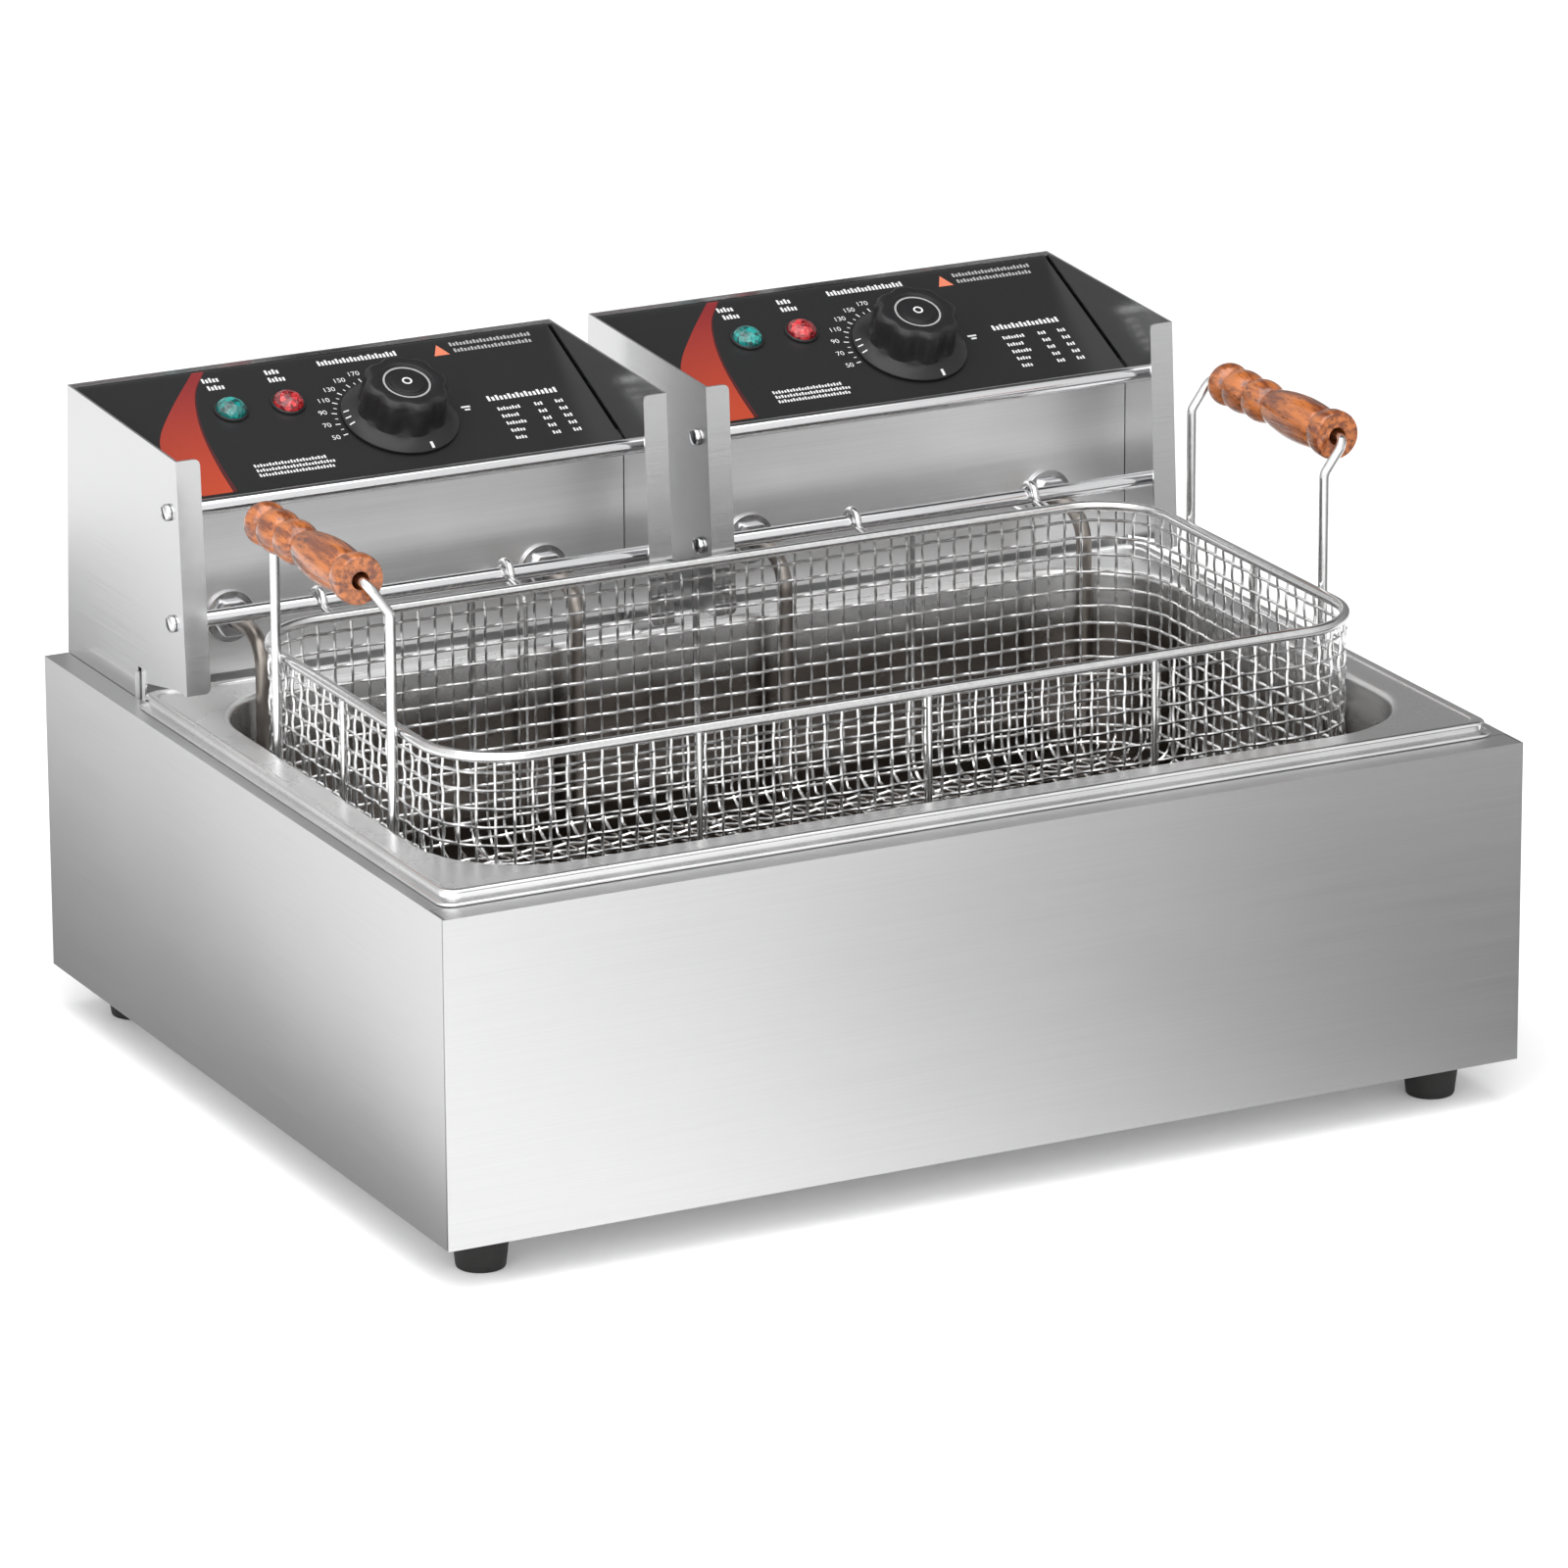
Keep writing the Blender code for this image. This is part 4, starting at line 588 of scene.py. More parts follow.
# %% Woven walls
def wall_point(s, t, lift):
    """Down the wall, then a quarter round under it; lift moves the point along the wall's normal."""
    straight = CLOTH_TOP - BASKET_FLOOR - BASKET_FOOT
    turn = np.clip((t - straight) / BASKET_FOOT, 0, np.pi / 2)
    point, outward = around(s)
    reach = BASKET_FOOT * (np.cos(turn) - 1) + lift * np.cos(turn)
    height = CLOTH_TOP - np.minimum(t, straight) - BASKET_FOOT * np.sin(turn) - lift * np.sin(turn)
    plan = point + outward * reach[..., None] + BASKET_MIDDLE
    return np.concatenate([plan, height[..., None]], axis=-1)


def wire_family(paths, reference, loop):
    """Many wires of equal point count as one set of points and faces."""
    rings = wire_rings(paths, WEAVE_WIRE, 5, reference, loop)
    wires, rows, sides = rings.shape[:3]
    offsets = (np.arange(wires) * rows * sides)[:, None, None]
    faces = (grid_faces(rows, sides, loop)[None] + offsets).reshape(-1, 4).tolist()
    if not loop:
        faces += (cap_faces(rows, sides)[None] + offsets).reshape(-1, sides).tolist()
    return rings, faces


UPRIGHTS = int(round(PERIMETER / CELL / 2)) * 2
WALL_LENGTH = CLOTH_TOP - BASKET_FLOOR - BASKET_FOOT + BASKET_FOOT * np.pi / 2
HOOPS = int(WALL_LENGTH / CELL)
upright_s = np.arange(UPRIGHTS)[:, None] * PERIMETER / UPRIGHTS
upright_t = np.linspace(-0.0020, WALL_LENGTH, 3 * HOOPS + 1)[None]
upright_wave = WAVE * np.cos(np.pi * (upright_t / CELL + np.arange(UPRIGHTS)[:, None]))
uprights = wall_point(upright_s + 0 * upright_t, upright_t + 0 * upright_s, upright_wave)
hoop_t = (np.arange(HOOPS)[:, None] + 0.5) * CELL
hoop_s = np.linspace(0, PERIMETER, 3 * UPRIGHTS, endpoint=False)[None]
hoop_wave = -WAVE * np.cos(np.pi * (hoop_s * UPRIGHTS / PERIMETER + np.arange(HOOPS)[:, None] + 0.5))
hoops = wall_point(hoop_s + 0 * hoop_t, hoop_t + 0 * hoop_s, hoop_wave)
walls = [wire_family(uprights, np.array([0.37, 0.61, 0.70]), False), wire_family(hoops, Z_AXIS, True)]
make_piece("basket_wall_weave", *gathered(walls), "basket", WIRE_STEEL, "basket_mesh", 60)
print(UPRIGHTS, "upright wires and", HOOPS, "hoops")


# %% Woven floor
def floor_wires(half_along, half_across, turned):
    """Wires at even spacing, each cut where the floor's rounded corner ends it."""
    radius = BASKET_CORNER - BASKET_FOOT
    count = int(2 * half_across / CELL)
    across = (np.arange(count) - (count - 1) / 2) * CELL
    bite = np.clip(np.abs(across) - (half_across - radius), 0, radius)
    reach = half_along - radius + np.sqrt(np.maximum(radius**2 - bite**2, 0))
    samples = int(2 * half_along / CELL) * 3
    along = np.linspace(-1, 1, samples)[None] * reach[:, None]
    wave = WAVE * np.cos(np.pi * (along / CELL + np.arange(count)[:, None] + (0.5 if turned else 0.0)))
    wave = -wave if turned else wave
    flat = (across[:, None] + 0 * along, along) if turned else (along, across[:, None] + 0 * along)
    points = np.stack([flat[0] + BASKET_MIDDLE[0], flat[1] + BASKET_MIDDLE[1], BASKET_FLOOR + wave], axis=-1)
    return wire_family(points, Z_AXIS, False)


FLOOR_HALF = BASKET_HALF - BASKET_FOOT
floor_cloth = gathered([floor_wires(*FLOOR_HALF, False), floor_wires(*FLOOR_HALF[::-1], True)])
make_piece("basket_floor_weave", *floor_cloth, "basket", WIRE_STEEL, smooth=60)

# %% [markdown]
# ## The basket's frame
# A thick round wire makes the rim, and thinner wires run from it down the walls and under the floor.
# Four short hooks reach back over the rails. Each is a circle carried along a path of straight runs
# and arcs, a sweep.

# %% Rim, ribs and hooks
RIM_Z = BASE + 0.211
RIM_WIRE = 0.00275
RIB_WIRE = 0.0015
RIB_OUT = CLOTH + GAP + RIB_WIRE
RAIL = np.array([FRONT + 0.336, BASE + 0.214])
RAIL_RADIUS, HOOK_WIRE, HOOK_ROOM = 0.004, 0.0020, 0.0005
HOOK_BEND = RAIL_RADIUS + HOOK_WIRE + HOOK_ROOM


def rib_path(half, along, across):
    """Down one wall, under the floor and up the other wall, RIB_OUT outside the cloth."""
    reach, under = half + RIB_OUT, BASKET_FLOOR - RIB_OUT
    top = RIM_Z - RIM_WIRE * 0.4
    heights = ((-reach, top), (-reach, under), (reach, under), (reach, top))
    middle = np.array([*BASKET_MIDDLE, 0.0])
    corners = [middle + along * place + across + Z_AXIS * z for place, z in heights]
    return bent_path(corners, BASKET_FOOT + RIB_OUT, 8)


def hook_path(x):
    """From the rim to the front of the rail, up and over it at HOOK_BEND, and a short way down behind."""
    angle = np.radians(np.linspace(190, 0, 20))
    arc = RAIL + HOOK_BEND * np.stack([np.cos(angle), np.sin(angle)], axis=-1)
    rim = np.array([[BASKET_MIDDLE[1] + BASKET_HALF[1], RIM_Z]])
    tail = np.array([[RAIL[0] + HOOK_BEND, RAIL[1] - 0.003]])
    side_view = np.concatenate([rim, arc, tail])
    return np.column_stack([np.full(len(side_view), x), side_view])


def capped(path, radius, sides, reference):
    """Rings along a path, with smaller rings at both ends so that a cut wire looks rounded off."""
    path = np.asarray(path, float)
    first, last = path[0] - path[1], path[-1] - path[-2]
    first, last = first / np.linalg.norm(first), last / np.linalg.norm(last)
    path = np.concatenate([[path[0] + first * 1e-5], path, [path[-1] + last * 1e-5]])
    radii = np.full(len(path), radius)
    radii[[0, -1]] = radius * 0.72
    return wire_rings(path, radii, sides, reference)


rim_plan = rounded_rectangle(*BASKET_HALF, BASKET_CORNER, 20) + BASKET_MIDDLE
rim_path = np.column_stack([rim_plan, np.full(len(rim_plan), RIM_Z)])
rim = wire_rings(rim_path, RIM_WIRE, 16, Z_AXIS, True)
rings_piece("basket_rim", rim, True, "basket", WIRE_STEEL, "basket_frame")


def basket_wire(name, path, radius, sides, reference, replaced=None):
    rings_piece(name, capped(path, radius, sides, reference), False, "basket", WIRE_STEEL, replaced)


for number, x in enumerate((-0.123, 0.0, 0.123), 1):
    path = rib_path(BASKET_HALF[1], Y_AXIS, X_AXIS * x)
    basket_wire(f"basket_rib_{number}", path, RIB_WIRE, 10, X_AXIS)
basket_wire("basket_rib_long", rib_path(BASKET_HALF[0], X_AXIS, Y_AXIS * 0), RIB_WIRE, 10, Y_AXIS)
for number, x in enumerate((-0.199, -0.097, 0.097, 0.199), 1):
    basket_wire(f"basket_hook_{number}", hook_path(x), HOOK_WIRE, 12, X_AXIS)

# %% [markdown]
# ## Handles
# Each handle is one wire: two legs welded to the outside of the rim, a bend outwards at the top, and a
# straight run through the grip. The grip is turned on a lathe, so it is a profile of radii swept round
# the wire. The profile runs from groove to groove, and swells in a bulge between two of them.

# %% Handle wires
HANDLE_X = {"left": -1.0, "right": 1.0}
HANDLE_WIRE = 0.0025
LEG_X = BASKET_HALF[0] + RIM_WIRE + GAP + HANDLE_WIRE
GRIP_X = LEG_X + 0.0115
LEG_BEND = RIM_Z + 0.059
GRIP_Z = LEG_BEND + 0.016
HANDLE_Y = BASKET_MIDDLE[1] + 0.004


def handle_path(sign):
    """Up one leg, out to the grip's height, along the grip, and down the other leg."""
    low, front, back = RIM_Z - 0.112, HANDLE_Y - 0.0665, HANDLE_Y + 0.0665
    leg, grip = sign * LEG_X, sign * GRIP_X
    corners = [(leg, front, low), (leg, front, LEG_BEND), (grip, front, GRIP_Z)]
    corners += [(grip, back, GRIP_Z), (leg, back, LEG_BEND), (leg, back, low)]
    return bent_path(corners, 0.006, 8)


for side, sign in HANDLE_X.items():
    basket_wire(f"{side}_handle", handle_path(sign), HANDLE_WIRE, 14, X_AXIS, f"{side}_handle_wire")


# %% Turned grips
GROOVES = np.array([0.0, 0.115, 0.540, 0.700, 0.865, 1.0])
GROOVE_RADII = np.array([0.93, 0.78, 0.62, 0.62, 0.62, 0.30])
BULGES = np.array([0.14, 0.25, 0.26, 0.27, 0.41])


def turned_shape(count):
    """Radius between two grooves: a line between their radii plus bulge * sin(pi * share) ** 0.6."""
    place = np.linspace(0, 1, count)
    index = np.clip(np.searchsorted(GROOVES, place, side="right") - 1, 0, len(BULGES) - 1)
    share = (place - GROOVES[index]) / (GROOVES[index + 1] - GROOVES[index])
    line = GROOVE_RADII[index] * (1 - share) + GROOVE_RADII[index + 1] * share
    return place, np.minimum(line + BULGES[index] * np.sin(np.pi * np.clip(share, 0, 1)) ** 0.6, 1.0)


GRIP_RADIUS, GRIP_BORE = 0.0125, 0.0045
for side in HEADS:
    low, high = box_of(f"{side}_grip")
    along, share = turned_shape(140)
    length = high[1] - low[1]
    outside = np.column_stack([share * GRIP_RADIUS, along * length])
    profile = np.concatenate([[(GRIP_BORE, 0.0)], outside, [(GRIP_BORE, length)]])
    centre = ((low[0] + high[0]) / 2, low[1], (low[2] + high[2]) / 2)
    rings = turned_rings(profile, centre, Y_AXIS, X_AXIS, 40)
    rings_piece(f"{side}_wood_grip", rings, True, f"{side}_handle_grip", WOOD, f"{side}_grip", smooth=50)

# %% [markdown]
# ## Rods, screws, nuts and heating tubes
# Each head carries two polished rods between its side panels, held by a screw at either end. Two tubes
# come out of the front plate through flanged nuts, bend down into the tank and run to and fro above
# its floor. Turned parts use the profile sweep, and the tube uses the same wire sweep as the basket.

# %% Rods
for side in HEADS:
    for name in ("upper_rod", "basket_rail"):
        low, high = box_of(f"{side}_{name}")
        middle, half = (low + high) / 2, (high - low)[0] / 2
        turn = np.linspace(0, np.pi / 2, 6)
        end = np.stack([0.0025 + 0.0015 * np.sin(turn), -half + 0.0015 * (1 - np.cos(turn))], axis=-1)
        profile = np.concatenate([end, end[::-1] * (1, -1)])
        rings = turned_rings(profile, middle, X_AXIS, Y_AXIS, 24)
        rings_piece(f"{side}_bright_{name}", rings, False, f"{side}_head", ROD_STEEL, f"{side}_{name}")


# %% Screws
SCREW_RADIUS, SCREW_EDGE, SCREW_DOME, SCREW_POWER, SLOT_REACH = 0.0043, 0.0010, 0.0017, 0.6, 0.74


def screw(node, body, centre, out, side):
    """A domed head, and across it a black ridge of painted shade where the slot is; out is the way the head
    faces.
    """
    head = dome(SCREW_RADIUS, SCREW_EDGE, SCREW_DOME, 7, 0.0003, SCREW_POWER)
    rings = turned_rings(np.concatenate([[(SCREW_RADIUS, 0.0)], head]), centre, out, side, 20)
    rings_piece(f"{node}_bright", rings, False, body, ROD_STEEL, node)
    # The slot is a thin black wire laid on the dome: a dark piece put in as painted shade for the recess.
    turn = np.linspace(-1, 1, 9) * np.arccos(SLOT_REACH ** (1 / SCREW_POWER))
    share = np.sign(turn) * (1 - np.cos(turn) ** SCREW_POWER) / (1 - SLOT_REACH) * SLOT_REACH
    height = SCREW_EDGE + SCREW_DOME * np.sqrt(np.maximum(1 - np.abs(share) ** (2 / SCREW_POWER), 0))
    path = centre + SCREW_RADIUS * share[:, None] * side + height[:, None] * out
    rings_piece(f"{node}_bright_slot", wire_rings(path, 0.00042, 6, out), False, body, RING_BLACK)


for side in HEADS:
    for name in ("upper_rod", "basket_rail"):
        for end, way in (("left", -1.0), ("right", 1.0)):
            node = f"{side}_{name}_screw_{end}"
            centre = sum(box_of(node)) / 2
            centre[0] = HEAD_MIDDLE[side] + way * 0.1333
            screw(node, f"{side}_head", centre, X_AXIS * way, Z_AXIS * 0.8 + Y_AXIS * 0.6)
for end in ("front", "rear"):
    for side in HEADS:
        node = f"base_screw_{end}_{side}"
        centre = sum(box_of(node)) / 2
        centre[2] = BASE - GAP
        screw(node, "housing", centre, -Z_AXIS, X_AXIS)

# %% Heating tubes
TUBE_SPREAD, TUBE_EXIT = 0.086, BASE + 0.201
SLANT = np.array([0.6, 0.0, 0.8])


def tube_path(side):
    """In through the plate, down at the back of the tank, and six runs to and fro over its floor."""
    floor_z = BASE + 0.0375
    y = FRONT + np.array([0.399, 0.335, 0.077, 0.300])
    xs = HEAD_MIDDLE[side] - TUBE_SPREAD + 2 * TUBE_SPREAD / 5 * np.arange(6)
    corners = [(xs[0], y[0], TUBE_EXIT), (xs[0], y[1], TUBE_EXIT), (xs[0], y[1], floor_z)]
    for k in range(5):
        end = y[3] if k % 2 else y[2]
        corners += [(xs[k], end, floor_z), (xs[k + 1], end, floor_z)]
    corners += [(xs[5], y[1], floor_z), (xs[5], y[1], TUBE_EXIT), (xs[5], y[0], TUBE_EXIT)]
    return bent_path(corners, 0.0170, 10)


def nut_rings(centre):
    """A thin round flange, then a hexagon whose corners are turned off, bored for the tube."""
    angle = np.linspace(0, 2 * np.pi, 48, endpoint=False)
    hexagon = 0.0090 / np.cos(np.mod(angle, np.pi / 3) - np.pi / 6)
    bore, flange, turned = np.full(48, 0.0043), np.full(48, 0.0130), np.minimum(hexagon, 0.0101)
    radii = np.stack([bore, flange, flange, turned, turned, hexagon * 0.93, bore])
    depth = np.array([0.0, 0.0, 0.0015, 0.0016, 0.0062, 0.0070, 0.0070])
    circle = np.cos(angle)[:, None] * X_AXIS + np.sin(angle)[:, None] * Z_AXIS
    return centre - depth[:, None, None] * Y_AXIS + radii[..., None] * circle[None]


for side in HEADS:
    body = f"{side}_head"
    rings = capped(tube_path(side), 0.0040, 16, SLANT)
    rings_piece(f"{side}_heating_tube", rings, False, body, HEATED_STEEL, f"{side}_heating_element")
    for end, way in (("left", -1), ("right", 1)):
        nut = nut_rings(np.array([HEAD_MIDDLE[side] + way * TUBE_SPREAD, FRONT + 0.375 - GAP, TUBE_EXIT]))
        rings_piece(f"{side}_tube_nut_{end}", nut, True, body, ROD_STEEL, f"{side}_element_nut_{end}")

# %% [markdown]
# ## Sensing bulb
# Under each dial a switch box sends a hair-thin copper-steel tube down into the oil, ending in a long
# bulb that feels the temperature. The box is hidden in the head. Box, tube and bulb are one unit.

# %% Sensing bulb and switch box
def sensor_path(side):
    """Out of the switch box, down behind the plate, through it, down the tank's back wall and along it."""
    x = HEAD_MIDDLE[side] + 0.060
    start = on_fascia(side, 0.036, DIAL[1], -0.0015 - GAP - 0.022)
    down, low_z = FRONT + 0.3415, BASE + 0.0575
    corners = [start, (x, start[1], start[2]), (x, start[1], TUBE_EXIT), (x, down, TUBE_EXIT)]
    corners += [(x, down, low_z), (x - 0.020, down, low_z)]
    return bent_path(corners, 0.007, 6)


for side in HEADS:
    body = f"{side}_head"
    path = sensor_path(side)
    rings_piece(f"{side}_capillary", capped(path, 0.0013, 10, SLANT), False, body, WIRE_STEEL)
    turn = np.linspace(0, np.pi / 2, 6)
    nose = np.stack([0.0013 + 0.0017 * np.sin(turn), 0.003 * (1 - np.cos(turn))], axis=-1)
    shape = np.concatenate([nose, dome(0.003, 0.077, 0.003, 6, 0.0002)])
    bulb = turned_rings(shape, path[-1] + X_AXIS * 0.002, -X_AXIS, Y_AXIS, 16)
    rings_piece(f"{side}_sensing_bulb", bulb, False, body, WIRE_STEEL)
    corner = DIAL + np.array([(-1, -1), (1, -1), (1, 1), (-1, 1)]) * 0.018
    depth = np.array([-0.0018, -0.0278])
    levels = on_fascia(side, corner[None, :, 0], corner[None, :, 1], depth[:, None])
    rings_piece(f"{side}_switch_box", levels, False, body, HEAD_STEEL, f"{side}_thermostat")

# %% [markdown]
# ## Dials
# The dial is one moulding: a low skirt with marks, and a grip with eight soft lobes under a flat top with
# a shallow ring. Its radius is a function of the angle and the height, r = R - depth * (1 - cos(8 *
# angle)) / 2, so the lobes fade out where the grip meets the skirt and the top. It turns with its body.

# %% Dial knobs
def round_dial(side, radius, height, angle):
    """Points at a radius round the dial's axis and at a height out of the face."""
    u, v = DIAL[0] + radius * np.cos(angle), DIAL[1] + radius * np.sin(angle)
    return on_fascia(side, u, v, height + 0 * angle)


def dial_surface(side):
    """Radius by height times a lobe term that is full on the grip and zero on skirt, ring and bore."""
    profile = np.array([
        (0.0033, 0.0168, 0), (0.0033, 0.0008, 0), (0.0296, 0.0008, 0), (0.0300, 0.0012, 0),
        (0.0300, 0.0020, 0), (0.0296, 0.0025, 0), (0.0262, 0.0042, 0), (0.0246, 0.0052, 0.1),
        (0.0232, 0.0060, 0.7), (0.0228, 0.0075, 1), (0.0226, 0.0120, 1), (0.0224, 0.0180, 1),
        (0.0220, 0.0212, 1), (0.0212, 0.0226, 0.9), (0.0199, 0.0235, 0.7), (0.0184, 0.0238, 0.3),
        (0.0140, 0.0238, 0), (0.0134, 0.0236, 0), (0.0130, 0.0228, 0), (0.0124, 0.0226, 0),
        (0.0098, 0.0226, 0), (0.0092, 0.0228, 0), (0.0088, 0.0236, 0), (0.0080, 0.0238, 0),
        (0.0010, 0.0238, 0),
    ])
    angle = np.linspace(0, 2 * np.pi, 128, endpoint=False)
    lobe = 0.5 * (1 - np.cos(8 * angle))
    radius = profile[:, :1] - 0.0023 * profile[:, 2:] * lobe**1.5
    return round_dial(side, radius, profile[:, 1:2], angle)


for side in HEADS:
    knob = dial_surface(side)
    rings_piece(f"{side}_dial_knob", knob, False, f"{side}_dial", DIAL_BLACK, f"{side}_knob", smooth=35)

# %% [markdown]
# ## Lamps, button, gland and feet
# These small turned parts finish the heads and the base. Each lamp is a black bezel round a domed lens.
# Behind, each head has a reset button in its collar, and a gland where the cord goes in. The rubber
# feet taper slightly downwards and are hollowed underneath.

# %% Lamps
LAMPS = (("power_lamp", (-0.0585, 0.0610), GREEN_LENS), ("heat_lamp", (-0.0276, 0.0605), RED_LENS))
STEM = [(0.0058, -0.012), (0.0058, 0.0006), (0.0077, 0.0007)]
BEZEL = [
    (0.0078, 0.0003), (0.0089, 0.0003), (0.0089, 0.0010),
    (0.0086, 0.0016), (0.0082, 0.0018), (0.0078, 0.0016),
]
for side in HEADS:
    for name, place, finish in LAMPS:
        centre = on_fascia(side, *place, 0.0)
        profile = np.concatenate([STEM, dome(0.0077, 0.0014, 0.0052, 8, 0.0003)])
        rings = turned_rings(profile, centre, OUT_OF_FACE, X_AXIS, 32)
        rings_piece(f"{side}_{name}_lens", rings, False, f"{side}_head", finish, f"{side}_{name}", smooth=50)
        rings = turned_rings(BEZEL, centre, OUT_OF_FACE, X_AXIS, 32)
        rings_piece(f"{side}_{name}_bezel", rings, True, f"{side}_head", RING_BLACK)

# %% Reset buttons and glands
BACK_LEAN = np.arctan2(0.008, 0.141)
OUT_OF_BACK = np.array([0.0, np.cos(BACK_LEAN), np.sin(BACK_LEAN)])
UP_BACK = np.array([0.0, -np.sin(BACK_LEAN), np.cos(BACK_LEAN)])
BACK_CORNER = np.array([0.0, FRONT + 0.470, BASE + 0.1633])


def on_back(side, u, v):
    """A point on the outside of a head's back wall."""
    return BACK_CORNER + X_AXIS * (HEAD_MIDDLE[side] + u) + UP_BACK * v


for side in HEADS:
    body = f"{side}_head"
    centre = on_back(side, -0.070, 0.060)
    collar = [
        (0.0036, 0.0055), (0.0041, 0.0060), (0.0056, 0.0060), (0.0060, 0.0055), (0.0060, -0.0015),
        (0.0140, -0.0015), (0.0140, -0.0250), (0.0010, -0.0250), (0.0010, -0.0024), (0.0036, -0.0024),
    ]
    rings = turned_rings(collar, centre, OUT_OF_BACK, X_AXIS, 28)
    rings_piece(f"{side}_reset_collar", rings, True, body, RING_BLACK, f"{side}_cutout")
    cap = np.concatenate([[(0.0032, 0.0010)], dome(0.0032, 0.0082, 0.0008, 6, 0.0002)])
    rings = turned_rings(cap, centre, OUT_OF_BACK, X_AXIS, 24)
    # The red lens finish gives the reset cap a painted glow, though it is no lamp.
    rings_piece(f"{side}_reset_cap", rings, False, f"{side}_reset", RED_LENS, f"{side}_reset_button")
    centre = on_back(side, 0.060, 0.035)
    gland = [
        (0.0045, -0.0112), (0.0070, -0.0112), (0.0070, 0.0003), (0.0096, 0.0003), (0.0100, 0.0007),
        (0.0100, 0.0095), (0.0096, 0.0100), (0.0088, 0.0101), (0.0082, 0.0150), (0.0075, 0.0178),
        (0.0070, 0.0180), (0.0045, 0.0180),
    ]
    rings = turned_rings(gland, centre, OUT_OF_BACK, X_AXIS, 28)
    rings_piece(f"{side}_cord_gland", rings, True, body, RING_BLACK, f"{side}_cable_gland")

# %% Feet
for end in ("front", "rear"):
    for side in HEADS:
        centre = sum(box_of(f"foot_{end}_{side}")) / 2
        centre[2] = BASE
        foot = [
            (0.0005, -0.0160), (0.0060, -0.0160), (0.0060, -0.0215), (0.0065, -0.0220),
            (0.0110, -0.0220), (0.0118, -0.0217), (0.0121, -0.0210), (0.0144, -0.0018),
            (0.0142, -0.0007), (0.0135, -0.0003), (0.0025, -0.0003), (0.0025, 0.0085),
        ]
        rings = turned_rings(foot, centre, Z_AXIS, X_AXIS, 32)
        rings_piece(f"foot_{end}_{side}_rubber", rings, False, "housing", FOOT_RUBBER, f"foot_{end}_{side}")

# %% [markdown]
# ## Printing on the fascia
# The fascia carries a curved red band, a scale round the dial and a few lines of small print. Prints are
# ink a twentieth of a millimetre thick, so each is a thin slab just above the foil: a polygon in (u, v)
# with a top and a bottom. Only the dial's numbers are real characters. The small print is plain bars.

# %% Inks
def ink(name, low, high):
    paint = Finish(name)
    fade = paint.noise((900, 900, 900), 2.0)
    return paint.feed(Base_Color=paint.blend(fade, low, high), Roughness=fade * 0.1 + 0.4).material


def band_ink():
    """Red at the top of the slope, running to orange at the foot, by height."""
    paint = Finish("band_ink")
    share = paint.step(paint.coordinate("Z"), 0.287, 0.322, "LINEAR")
    speck = paint.noise((700, 700, 700), 2.0)
    color = paint.blend(share, (0.44, 0.050, 0.016), (0.20, 0.016, 0.018))
    return paint.feed(Base_Color=color, Roughness=speck * 0.12 + 0.34).material


WHITE_INK = ink("white_ink", grey(0.62), grey(0.78))
GREY_INK = ink("grey_ink", grey(0.30), grey(0.42))
MAROON_INK = ink("maroon_ink", (0.060, 0.006, 0.008), (0.085, 0.009, 0.011))
CORAL_INK = ink("coral_ink", (0.60, 0.15, 0.08), (0.72, 0.22, 0.12))
BAND_INK = band_ink()
INK_LIFT, INK_TOP = 0.00004, 0.00010


def slab(outline):
    """Two copies of a flat outline, at the bottom and at the top of the ink."""
    outline = np.asarray(outline, float)
    return np.stack([np.column_stack([outline, np.full(len(outline), h)]) for h in (INK_LIFT, INK_TOP)])


def print_slabs(name, side, slabs, finish, body=None):
    """Joins many slabs of any outline into one printed piece."""
    parts = []
    for flat in slabs:
        faces = grid_faces(*flat.shape[:2]).tolist() + cap_faces(*flat.shape[:2]).tolist()
        parts.append((on_fascia(side, flat[..., 0], flat[..., 1], flat[..., 2]), faces))
    make_piece(name, *gathered(parts), body or f"{side}_head", finish, smooth=30)


# %% Curved band
def curve(points, count=40):
    """A smooth curve through control points: cubic Hermite between them, with centred slopes."""
    points = np.asarray(points, float)
    slope = np.gradient(points, axis=0)
    place = np.linspace(0, len(points) - 1, count)
    index = np.minimum(place.astype(int), len(points) - 2)
    t = (place - index)[:, None]
    a, b, da, db = points[index], points[index + 1], slope[index], slope[index + 1]
    return (a * (1 + 2 * t) + da * t) * (1 - t) ** 2 + (b * (3 - 2 * t) - db * (1 - t)) * t**2


LEFT_EDGE = curve([
    (-0.0665, 0.0935), (-0.0850, 0.0720), (-0.1000, 0.0520), (-0.1055, 0.0380), (-0.1045, 0.0240),
    (-0.0985, 0.0010),
])
RIGHT_EDGE = curve([
    (-0.0600, 0.0935), (-0.0705, 0.0790), (-0.0770, 0.0610), (-0.0805, 0.0420), (-0.0820, 0.0200),
    (-0.0820, 0.0010),
])
SHADE_EDGE = curve([
    (-0.0596, 0.0935), (-0.0698, 0.0790), (-0.0760, 0.0610), (-0.0792, 0.0420), (-0.0800, 0.0200),
    (-0.0796, 0.0010),
])


def strip(first, second):
    """A ribbon between two edges as a ring for every step along it, so that it stays a chain of quads."""
    edges = ((first, INK_LIFT), (second, INK_LIFT), (second, INK_TOP), (first, INK_TOP))
    return np.stack([np.column_stack([edge, np.full(len(edge), h)]) for edge, h in edges], axis=1)


for side in HEADS:
    print_slabs(f"{side}_band", side, [strip(LEFT_EDGE, RIGHT_EDGE)], BAND_INK)
    print_slabs(f"{side}_band_shade", side, [strip(RIGHT_EDGE + (GAP, 0), SHADE_EDGE)], MAROON_INK)


